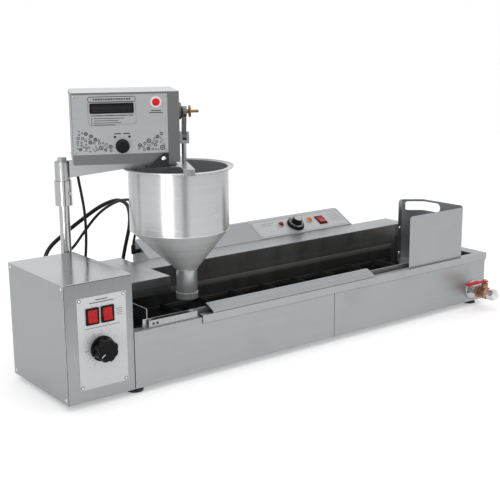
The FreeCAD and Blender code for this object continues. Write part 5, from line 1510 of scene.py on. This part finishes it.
@dataclass
class DriveBox(Assembly):
    """Upright box at the left end, with its plate, rockers and speed knob."""

    finishes = {
        "drive_box_shell": BOX_SIDE,
        "drive_box_lid": BOX_LID,
        "drive_box_label": BOX_FILM,
        "switch_housings": BLACK_PLASTIC,
        "rocker_left": ROCKER_RED,
        "rocker_right": ROCKER_RED,
        "speed_knob": BLACK_PLASTIC,
        "gear_motor": MOTOR_PAINT,
    }
    left: float = -147
    plate: Place = Place(corner(-121, -0.8, 24))
    plate_screws: tuple[Pair, ...] = ((5, 5), (5, 175), (99, 5), (99, 175))
    plate_screw_radius: float = 2.6
    plate_bars: Bars = ((52, 119, 74, 0.8), (52, 172.5, 26, 1.6), (52, 167.5, 52, 1.4))
    switches: tuple[tuple[str, float], ...] = (("left", 31.4), ("right", 63.5))
    switches_up: float = 142
    switch_opening: Pair = (21.2, 25.8)
    bezel_section: Pair = (3.3, 2.2)
    marks_up: tuple[tuple[str, float, float], ...] = (("I", 160.6, 4.0), ("0", 124.6, 3.6))
    knob_at: Pair = (49.4, 75.8)
    pointer_angle: float = 214
    skirt_top: float = 3.3
    grip_top: float = 25.3
    seams: Bars = ((0.9, 115, 0.9, 230), (72.5, 232.1, 144, 1.0))
    side_screws: tuple[Pair, ...] = ((9, 226), (9, 9), (227, 226), (227, 9))
    side_screw_radius: float = 3.4
    side_screw_sunk: float = 1.3

    def detail(self) -> None:
        """Adds the plate's printing and screws, bezels, seams, pointer and side screws, and gives
        the shell's front faces painted shade.
        """
        # The shell's front faces take the copy with painted shade towards the top.
        coat_faces("drive_box_shell", BOX_FRONT_SHADED, faces_front)
        self.print_plate()
        for name, x in self.switches:
            matrix = self.plate.matrix(x, self.switches_up)
            self.bezel(f"switch_bezel_{name}", self.switch_opening, self.bezel_section, matrix)
        self.add_mark("speed_pointer_mark", (3.6, 2.0, 0.5), 0.2, 23.3, self.skirt_top)
        self.add_mark("speed_grip_mark", (9, 1.2, 0.35), 0.15, 13.5, self.grip_top)
        seams = Printing("drive_box_seams")
        seams.bars(*self.seams)
        matrix = Place(corner(self.left, 0, 0)).matrix(out=INK_LIFT)
        seams.settle(matrix, SEAM_AND_SHADOW_DARK, "base", "rubber")
        places = [self.plate.matrix(x, y) for x, y in self.plate_screws]
        self.fasteners.put(
            Fastener.SCREW, self.plate_screw_radius, "box_plate_screw", places, SCREW_CHROME
        )
        sides = [Place(corner(self.left, y, z), -NORTH) for y, z in self.side_screws]
        places = [side.matrix(out=-self.side_screw_sunk) for side in sides]
        self.fasteners.put(
            Fastener.SCREW, self.side_screw_radius, "box_side_screw", places, SCREW_CHROME
        )

    def print_plate(self) -> None:
        """Prints the speed dial and plain rules on the box's plate."""
        ink = Printing("box_plate_print")
        ink.dial(self.knob_at, (28.0, 31.5), [str(n) for n in range(11)], 240, 300, 4.6)
        ink.bars(*self.plate_bars)
        for row in range(4):
            ink.bars((89.5, 148 - 4 * row, 15 - 4 * (row % 2), 0.8))
        for x, y in self.plate_screws:
            ink.ring(x, y, 3.7, 0.9)
        for _, x in self.switches:
            for sign, y, size in self.marks_up:
                ink.figure(x, y, sign, size)
        ink.settle(self.plate.matrix(out=INK_LIFT), INK_BLACK, "base", "panel_plate")

    def add_mark(self, name: str, size: Point, radius: float, reach: float, out: float) -> None:
        """Adds a white mark on the speed knob.

        Args:
            name: the piece's name.
            size: its length, width and height.
            radius: rounding of its top.
            reach: how far its middle lies from the knob's axis.
            out: height above the plate.
        """
        mark = Bench.block(name, *size)
        Bench.round_top(size[2], radius, 2)
        Bench.move(mark, shift(reach))
        matrix = self.plate.matrix(*self.knob_at, out, self.pointer_angle)
        Bench.settle(mark, matrix, INK_WHITE, "speed_knob", "black_plastic")


@dataclass
class ControlBox(Assembly):
    """Sloping control box at the back, with its plate, lamps, thermostat knob and rocker."""

    finishes = {
        "rear_control_box": STEEL_SLOPE,
        "rear_label": SLOPE_FILM,
        "lamp_red": LENS_RED,
        "lamp_amber": LENS_AMBER,
        "thermostat_knob": BLACK_PLASTIC,
        "rear_rocker": ROCKER_RED,
    }
    plate_start: float = 599
    plate_length: float = 311
    plate_height: float = 71
    plate_sheet: float = 0.8
    screw_radius: float = 2.2
    knob_at: Pair = (732, 33)
    knob_base: float = 1.1
    knob_tall: float = 22
    lamps: tuple[tuple[str, float], ...] = (("red", 688), ("amber", 787))
    lamps_up: float = 42
    lamp_rim: Outline = (
        (6.6, 0), (8.5, 0), (8.7, 1.2), (8.0, 2.3), (7.0, 2.6), (6.6, 2.2), (6.6, 0)
    )
    cap: Outline = (
        (0, 0), (10.8, 0), (10.9, 0.5), (10.2, 1.1), (8.6, 1.2), (8.2, 0.9), (0, 0.85)
    )
    switch_at: Pair = (824, 35.5)
    switch_room: Pair = (0.4, 1.6)
    bezel_section: Pair = (2.6, 1.6)
    marks: tuple[tuple[str, float, float], ...] = (("I", 46, 4.4), ("0", 24, 4.0))
    marks_before_switch: float = 18
    tick_count: int = 24
    tick_at: Point = (17.6, 0, 7.82)
    tick_lean: float = 14.3

    def matrix(self, x: float, y: float, out: float) -> Matrix:
        """Takes a shape to a point of the sloping face."""
        foot = corner(x, *SLOPE_FOOT) + SLOPE_UP * y * MM
        return Place(foot, EAST, SLOPE_UP).matrix(out=out)

    def detail(self) -> None:
        """Adds the printing, the lamps' rims, the bezel, the screws and the knob's cap, and gives
        the left end faces painted shade.
        """
        # The left end faces take the darker copy, painted shade.
        coat_faces("rear_control_box", STEEL_END_SHADED, lambda spot, way: way.x < -SQUARE_ON)
        self.print_plate()
        for name, x in self.lamps:
            rim = Bench.turned(f"lamp_rim_{name}", self.lamp_rim)
            matrix = self.matrix(x, self.lamps_up, self.plate_sheet)
            Bench.settle(rim, matrix, CHROME, "base", "chrome")
        self.add_knob_cap()
        opening = tuple(map(sum, zip(DriveBox.switch_opening, self.switch_room)))
        matrix = self.matrix(*self.switch_at, self.plate_sheet)
        self.bezel("slope_switch_bezel", opening, self.bezel_section, matrix)
        places = [
            self.matrix(self.plate_start + x, y, self.plate_sheet)
            for x in (6, self.plate_length - 7) for y in (7, self.plate_height - 7)
        ]
        self.fasteners.put(
            Fastener.SCREW, self.screw_radius, "slope_plate_screw", places, CHROME
        )

    def print_plate(self) -> None:
        """Prints the thermostat's dial and plain marks on the sloping plate."""
        ink = Printing("slope_plate_print")
        x, y = self.knob_at
        labels = [str(n) for n in range(0, 201, 50)]
        ink.dial((x - self.plate_start, y), (25.2, 27.4), labels, 235, 290, 3.8)
        ink.bars((50, 54, 44, 0.8), (44, 47, 32, 0.8))
        for row in range(4):
            ink.bars((278, 26 + 9 * row, 40 - 6 * (row % 2), 0.7))
        x = self.switch_at[0] - self.plate_start - self.marks_before_switch
        for sign, y, size in self.marks:
            ink.figure(x, y, sign, size)
        ink.frame(self.plate_length / 2, self.plate_height / 2 + 0.5, (303, 61), 3, 0.5)
        matrix = self.matrix(self.plate_start, 0, self.plate_sheet + INK_LIFT)
        ink.settle(matrix, INK_BLACK, "base", "panel_plate")

    def add_knob_cap(self) -> None:
        """Adds the bright cap on the grip and the white ticks round the skirt."""
        cap = Bench.turned("thermostat_cap", self.cap)
        matrix = self.matrix(*self.knob_at, self.knob_base + self.knob_tall)
        Bench.settle(cap, matrix, CHROME, "thermostat_knob", "chrome")
        ticks = []
        for number in range(self.tick_count):
            tick = Bench.block("dial_tick", 3.4 if number % 2 else 5.2, 0.9, 0.35)
            Bench.round_top(0.35, 0.12, 1)
            turn = rotation(360 / self.tick_count * (number + 0.5))
            Bench.move(tick, turn @ shift(*self.tick_at) @ rotation(self.tick_lean, "Y"))
            ticks.append(tick)
        marks = Bench.join(ticks, "thermostat_skirt_marks")
        matrix = self.matrix(*self.knob_at, self.knob_base)
        Bench.settle(marks, matrix, INK_WHITE, "thermostat_knob", "black_plastic")


@dataclass
class Drain(Assembly):
    """Drain flange, ball valve, cap and lever."""

    finishes = {
        "drain_flange": CHROME,
        "valve_body": BRONZE,
        "valve_cap": CAP_ZINC,
        "valve_lever": LEVER_VINYL,
    }
    stem: Point = (994, -42, 60.6)
    nut_radius: float = 5.8
    nut_height: float = 4.2
    grip_at: Point = (947.5, -42, 59.0)
    grip: Point = (42.5, 12.6, 5.6)

    def detail(self) -> None:
        """Adds the nut on the valve's stem and the dipped grip of its lever."""
        add = bpy.ops.mesh.primitive_cylinder_add
        nut = Bench.start(
            "lever_nut", add, vertices=6, radius=self.nut_radius, depth=self.nut_height
        )
        bpy.ops.transform.translate(value=(0, 0, self.nut_height / 2))
        Bench.round_top(self.nut_height, 0.7, 2)
        matrix = Place(corner(*self.stem), EAST, NORTH).matrix()
        Bench.settle(nut, matrix, ZINC, "valve_lever", "zinc_steel")
        grip = Bench.block("lever_grip", *self.grip)
        Bench.round_edges(lambda middle, way: abs(way.z) > 0.99, 4.5, 5)
        Bench.modify(grip, "BEVEL", width=1.9, segments=3, limit_method="ANGLE")
        matrix = Place(corner(*self.grip_at), EAST, NORTH).matrix()
        Bench.settle(grip, matrix, LEVER_VINYL, "valve_lever", "lever_red", 60)


@dataclass
class Tray(Assembly):
    """Lift-out unloading tray at the right end."""

    finishes = {"unloading_tray": STEEL_TRAY}
    rivets: tuple[Point, ...] = ((918.5, 183.5, 171), (918.5, 183.5, 104))
    rivet_radius: float = 4.2

    def detail(self) -> None:
        """Adds the two rivets on the tray's rear flange."""
        places = [Place(corner(*spot)).matrix() for spot in self.rivets]
        self.fasteners.put(
            Fastener.RIVET, self.rivet_radius, "tray_rivet", places, SCREW_CHROME, "tray"
        )


@dataclass
class Post(Assembly):
    """Swivel post with its collar, bolts and cord glands."""

    finishes = {
        "post": CHROME,
        "height_collar": CHROME,
        "post_fixings": ZINC,
        "cord_glands": BLACK_SATIN,
    }


@dataclass
class Head(Assembly):
    """Swivelling head: arm, case, plate, display, button and dose knob."""

    finishes = {
        "head_arm": STEEL_ARM,
        "head_case": CASE_PAINT,
        "head_label": HEAD_FILM,
        "display_window": GLASS,
        "push_button": BUTTON_RED,
        "dose_knob": BLACK_SATIN,
        "head_motor": MOTOR_PAINT,
        "hopper_hanger": HANGER_ZINC,
    }
    case_front: Place = Place(head(21.6, -71.7, 423.3), HEAD_ALONG)
    case_left: Place = Place(head(21.6, 71.7, 423.3), -HEAD_ACROSS)
    case_screws: tuple[Pair, ...] = ((8, 8), (8, 134), (135, 8), (135, 134))
    case_screw_radius: float = 2.4
    sheet: float = 0.8
    plate_at: Pair = (1, 20.4)
    plate_screws: tuple[Pair, ...] = ((4, 114.2), (185, 114.2), (4, 4), (185, 6))
    plate_screw_radius: float = 2.8
    plate_bars: Bars = ((88, 40.6, 13, 2.0), (106, 40.6, 13, 2.0), (166, 84.5, 20, 1.6),
                        (166, 80.6, 27, 1.6))
    text_rows: tuple[float, ...] = (60, 48, 54, 42)
    knob_spots: tuple[Pair, ...] = ((82.5, 34.1), (111.5, 34.1))
    window_middle: Pair = (79, 111.6)
    bezel_opening: Pair = (80.2, 13.4)
    bezel_section: Pair = (3.4, 1.7)
    button_at: Pair = (167, 122)
    button_collar: Outline = (
        (7.3, 0), (11.2, 0), (11.4, 0.8), (10.6, 1.9), (8.6, 2.3), (7.3, 1.6), (7.3, 0)
    )
    ring_seed: int = 7
    ring_fields: Bars = ((6, 78, 54, 60), (124, 183, 44, 46))
    ring_tries: int = 900
    strap_start: float = 214
    gusset_from: float = 416
    gusset_bolt: Point = (201, -75.5, 432)
    gusset_bolt_radius: float = 4.8

    def detail(self) -> None:
        """Adds the printing, bezel, collar, screws and the gusset's bolt."""
        # The case's top faces take the lighter copy, painted light.
        coat_faces("head_case", CASE_TOP_LIT, lambda spot, way: way.z > SQUARE_ON)
        strap = head(self.strap_start, 0, 0).dot(HEAD_ALONG)
        coat_faces("hopper_hanger", STEEL_PLAIN, lambda spot, way: spot.dot(HEAD_ALONG) > strap)
        # The gusset's front faces above its foot take the dark copy, painted shade.
        low = head(0, 0, self.gusset_from).z
        coat_faces(
            "hopper_hanger", GUSSET_SHADED,
            lambda spot, way: spot.z > low and way.dot(HEAD_ACROSS) < -SQUARE_ON,
        )
        self.print_plate()
        self.print_rings()
        matrix = self.case_front.matrix(*self.window_middle, self.sheet)
        self.bezel("display_bezel", self.bezel_opening, self.bezel_section, matrix, "head")
        collar = Bench.turned("button_collar", self.button_collar)
        matrix = self.case_front.matrix(*self.button_at, self.sheet)
        Bench.settle(collar, matrix, COLLAR_GREY, "head", "zinc_steel")
        self.add_screws()

    def plate_matrix(self, x: float = 0, y: float = 0, out: float = 0) -> Matrix:
        """Gives the matrix of a point counted from the plate's lower left corner."""
        return self.case_front.matrix(self.plate_at[0] + x, self.plate_at[1] + y, self.sheet + out)

    def print_plate(self) -> None:
        """Prints the frames round the display and the marks at the knob."""
        ink = Printing("head_plate_print")
        ink.frame(78.5, 109, (95, 11), 5.4, 1.2)
        for dash in range(15):
            ink.bars((43 + 5.07 * dash, 109, 3.9 if dash % 4 else 3.0, 3.0))
        for dash in range(18):
            ink.bars((38.5 + 4.7 * dash, 77, 3.7 if dash % 5 else 2.6, 2.0))
        for row, length in enumerate(self.text_rows):
            ink.spot(37.5, 71.4 - 4.4 * row, 1.2, 10)
            ink.bars((42 + length / 2, 71.4 - 4.4 * row, length, 1.1))
        for x, y in self.knob_spots:
            ink.spot(x, y, 2.5)
        ink.bars(*self.plate_bars)
        ink.settle(self.plate_matrix(out=INK_LIFT), INK_BLACK, "head", "head_plate")
        faint = Printing("head_plate_frame")
        faint.frame(78.5, 81, (95, 44), 4, 0.5)
        faint.settle(self.plate_matrix(out=INK_LIFT), INK_GREY, "head", "head_plate")

    def print_rings(self) -> None:
        """Prints the plain pattern of rings and spots low on the plate."""
        ink = Printing("head_plate_rings")
        draw = random.Random(self.ring_seed)
        for left, right, top, count in self.ring_fields:
            placed: list[Point] = []
            for _ in range(self.ring_tries):
                if len(placed) >= count:
                    break
                radius = draw.uniform(1.6, 5.4)
                x = draw.uniform(left + radius, right - radius)
                rise = (x - left) / (right - left)
                ends = (top, 14) if left < 50 else (14, top)
                ceiling = ends[0] * (1 - rise) + ends[1] * rise
                y = draw.uniform(4 + radius, max(ceiling, 5 + radius))
                if all(math.hypot(x - u, y - v) > radius + r + 0.8 for u, v, r in placed):
                    placed.append((x, y, radius))
                    ink.ring(x, y, radius, min(1.7, radius * 0.45), 22)
                    if radius > 3.2:
                        ink.spot(x, y, radius * 0.34, 12)
        ink.settle(self.plate_matrix(out=0.03), INK_BLACK, "head", "head_plate")

    def add_screws(self) -> None:
        """Adds the plate's and the case's screws and the gusset's bolt."""
        gusset = Place(head(*self.gusset_bolt), HEAD_ALONG)
        plate = [self.plate_matrix(x, y) for x, y in self.plate_screws]
        case = [self.case_left.matrix(x, y) for x, y in self.case_screws]
        put = self.fasteners.put
        put(Fastener.SCREW, self.plate_screw_radius, "head_plate_screw", plate, CHROME, "head")
        put(Fastener.SCREW, self.case_screw_radius, "case_side_screw", case, ZINC, "head")
        put(
            Fastener.RIVET, self.gusset_bolt_radius, "gusset_rivet", [gusset.matrix()],
            SCREW_CHROME, "head",
        )


@dataclass
class Hopper(Assembly):
    """Batter hopper with its rolled rim, seams and nozzle."""

    finishes = {"hopper": STEEL_HOPPER}
    centre: Vector = head(240.6, 0, 0)
    nozzle: Vector = head(253.6, 0, 0)
    rim: Pair = (117, 404)
    shoulder: Pair = (106, 271.5)
    nozzle_top: Pair = (22.75, 181)
    rim_bead: Outline = (
        (-2.6, 0.02), (0.2, -1.3), (0.9, -0.4), (0.9, 0.9), (0.1, 1.7), (-1.5, 1.7),
        (-2.5, 0.9), (-2.6, 0.02),
    )
    shoulder_bead: Outline = (
        (-0.5, -1.4), (0.3, -1.0), (0.7, 0), (0.3, 1.0), (-0.5, 1.4), (-0.5, -1.4)
    )
    weld_bead: Outline = (
        (-0.3, -1.5), (0.5, -1.1), (0.9, 0), (0.5, 1.1), (-0.3, 1.4), (-0.3, -1.5)
    )
    seam_angle: float = 178
    seam_width: float = 5.0
    seam_height: float = 1.3
    seam_sunk: float = 0.35

    def detail(self) -> None:
        """Adds the rolled rim, the beads and the cone's seam, and coats the cone."""
        coat_faces("hopper", STEEL_CONE, lambda spot, way: -0.95 < way.z < -0.3)
        self.add_bead("hopper_rim_bead", self.rim_bead, self.rim, self.centre)
        self.add_bead("hopper_shoulder_bead", self.shoulder_bead, self.shoulder, self.centre)
        self.add_bead("nozzle_weld_bead", self.weld_bead, self.nozzle_top, self.nozzle)
        self.add_seam()

    def add_bead(self, name: str, outline: Outline, at: Pair, centre: Vector) -> None:
        """Adds a turned bead about an upright axis.

        Args:
            name: the piece's name.
            outline: its closed section, counted from where it lies.
            at: radius and height above the fryer's lower edge where it lies.
            centre: the axis.
        """
        section = [(at[0] + across, at[1] + rise) for across, rise in outline]
        piece = Bench.turned(name, section, 96)
        matrix = Place(centre, EAST, NORTH).matrix()
        Bench.settle(piece, matrix, STEEL_BEAD, "head", "stainless_bright")

    def add_seam(self) -> None:
        """Adds the raised seam down the side of the cone."""
        angle = math.radians(self.seam_angle)
        way = Vector((math.cos(angle), math.sin(angle), 0))
        low = self.nozzle + (way * self.nozzle_top[0] + UP * self.nozzle_top[1]) * MM
        high = self.centre + (way * self.shoulder[0] + UP * self.shoulder[1]) * MM
        run = high - low
        length = run.length / MM
        seam = Bench.block("cone_seam", length, self.seam_width, self.seam_height)
        Bench.round_top(self.seam_height, 0.9, 3)
        Bench.move(seam, shift(length / 2, 0, -self.seam_sunk))
        along = run.normalized()
        side = UP.cross(way)
        place = Place(low, along, -side if along.cross(-side).dot(way) > 0 else side)
        Bench.settle(seam, place.matrix(), STEEL_BEAD, "head", "stainless_bright")


@dataclass
class DosingDrive(Assembly):
    """Crank, connecting link and plunger at the head's right side."""

    finishes = {
        "crank": DRIVE_ZINC,
        "dose_screw": AGED_BRASS,
        "connecting_link": DRIVE_ZINC,
        "plunger": STEEL_SLOPE,
    }


@dataclass(frozen=True)
class Softbox:
    """A large soft lamp.

    Attributes:
        name: the lamp's name.
        place: its centre in the row frame, in metres.
        aim: the point that it faces, in metres.
        size: its width and height in metres.
        radiance: how bright it looks, where 1 is white.
        spread: the angle that its beam is kept to.
    """

    name: str
    place: Point
    aim: Point
    size: Pair
    radiance: float
    spread: float = 180

    def build(self) -> None:
        """Hangs the lamp."""
        data = bpy.data.lights.new(self.name, "AREA")
        data.shape = "RECTANGLE"
        data.size, data.size_y = self.size
        data.energy = self.radiance * math.pi * self.size[0] * self.size[1]
        data.spread = math.radians(self.spread)
        lamp = bpy.data.objects.new(self.name, data)
        lamp.location = self.place
        way = Vector(self.aim) - Vector(self.place)
        lamp.rotation_euler = way.to_track_quat("-Z", "Y").to_euler()
        bpy.context.scene.collection.objects.link(lamp)


@dataclass
class Studio:
    """White room, pale floor, soft lamps and the photograph's viewpoint.

    Attributes:
        camera_at: the camera's place in the row frame, in metres.
        azimuth: its heading, clockwise from +Y seen from above.
        drop: how far it looks down.
        roll: its turn about its own line of sight.
        lens: its focal length on a 36 mm wide sensor.
        dome: how bright the room is to matt surfaces, where 1 is white.
        floor_gain: light added to the floor where the camera or a reflection sees it.
        floor_width: the floor's width in metres.
        card_at: centre of the black card beside the set, in metres.
        card_aim: the point that the card faces at its own height.
        card_size: the card's width and height in metres.
    """

    camera_at: Point = (-0.94617, -1.61245, 0.71703)
    azimuth: float = 37.49
    drop: float = 13.136
    roll: float = -0.399
    lens: float = 71.24
    dome: float = 0.8
    floor_gain: float = 0.3
    floor_width: float = 30
    card_at: Point = (-0.16, -0.8, 0.22)
    card_aim: Pair = (0.15, 0.1)
    card_size: Pair = (0.22, 0.5)
    softboxes: tuple[Softbox, ...] = (
        Softbox("key_softbox", (-1.5, -2.0, 1.9), (0.3, 0.1, 0.25), (1.1, 1.3), 2.4),
        Softbox("top_softbox", (0.35, 0.0, 2.3), (0.4, 0.1, 0.0), (2.0, 1.4), 1.3),
        Softbox("strip_softbox", (-0.60, -0.36, 0.2), (0.21, 0.12, 0.32), (0.3, 0.28), 0.5, 34),
    )

    def build(self) -> None:
        """Makes the camera, the room, the floor, the lamps and the card."""
        self.add_camera()
        self.light_room()
        self.lay_floor()
        for softbox in self.softboxes:
            softbox.build()
        self.stand_card()
        bpy.context.scene.view_settings.view_transform = "Standard"

    def stand_card(self) -> None:
        """Stands a black card beside the set, seen only in reflections."""
        card = Bench.flat("black_flag_1", *self.card_size)
        place = Vector(self.card_at)
        way = (Vector((*self.card_aim, place.z)) - place).normalized()
        Bench.move(card, Matrix((UP.cross(way), UP, way)).transposed().to_4x4())
        card.data.transform(Matrix.Translation(place))
        coat(card, SEAM_AND_SHADOW_DARK)
        card.visible_camera = False
        card.visible_shadow = False
        card.visible_diffuse = False

    def add_camera(self) -> None:
        """Sets the camera up where the photograph was taken from."""
        heading, drop, roll = (math.radians(a) for a in (self.azimuth, self.drop, self.roll))
        north, east = math.cos(heading), math.sin(heading)
        ahead = Vector((east * math.cos(drop), north * math.cos(drop), -math.sin(drop)))
        level = Vector((north, -east, 0))
        right = level * math.cos(roll) + level.cross(ahead) * math.sin(roll)
        data = bpy.data.cameras.new("photo_camera")
        data.lens = self.lens
        data.sensor_width = 36
        data.sensor_fit = "HORIZONTAL"
        camera = bpy.data.objects.new("photo_camera", data)
        turn = Matrix((right, right.cross(ahead), -ahead)).transposed().to_4x4()
        camera.matrix_world = Matrix.Translation(self.camera_at) @ turn
        bpy.context.scene.collection.objects.link(camera)
        bpy.context.scene.camera = camera

    @staticmethod
    def seen_directly(graph: Graph) -> Socket:
        """Gives 1 on rays from the camera, reflections and glass, and 0 on matt light.

        Args:
            graph: the graph that asks.

        Returns:
            The mask.
        """
        path = graph.node("ShaderNodeLightPath").outputs
        seen = graph.calc("MAXIMUM", path["Is Camera Ray"], path["Is Glossy Ray"])
        return graph.calc("MAXIMUM", seen, path["Is Transmission Ray"])

    def light_room(self) -> None:
        """Fills the room with soft white light."""
        world = bpy.data.worlds.new("white_room")
        world.use_nodes = True
        bpy.context.scene.world = world
        graph = Graph(world.node_tree)
        strength = graph.spread(self.seen_directly(graph), 0, 1, self.dome, 1.0)
        background = world.node_tree.nodes["Background"]
        graph.feed(background, {"Color": (1, 1, 1, 1), "Strength": strength})

    def lay_floor(self) -> None:
        """Lays the pale floor, which keeps the machine's soft shadow."""
        floor = Bench.flat("floor", self.floor_width, self.floor_width)
        Bench.clear()
        material = bpy.data.materials.new("pale_floor")
        material.use_nodes = True
        graph = Graph(material.node_tree)
        fine = graph.noise(graph.point(), 300, 3, 0.6)
        glow = graph.calc("MULTIPLY", self.seen_directly(graph), self.floor_gain)
        graph.feed(material.node_tree.nodes["Principled BSDF"], {
            "Base Color": graph.blend(fine, (0.82, 0.82, 0.82), (0.86, 0.86, 0.86)),
            "Roughness": 0.7,
            "Emission Color": (1, 1, 1, 1),
            "Emission Strength": glow,
        })
        floor.data.materials.append(material)


def main() -> None:
    """Builds the studio, the cords and each sub-assembly in order."""
    logging.basicConfig(level=logging.INFO, format="%(message)s")
    Studio().build()
    for cord in CORDS:
        cord.build()
    fasteners = Fasteners()
    for kind in (
        FryerBody, Conveyor, DriveBox, ControlBox, Drain, Tray, Post, Head, Hopper, DosingDrive
    ):
        LOG.info("building %s", kind.__name__)
        kind(fasteners).build()
    fasteners.clear_away()


if __name__ == "__main__":
    main()
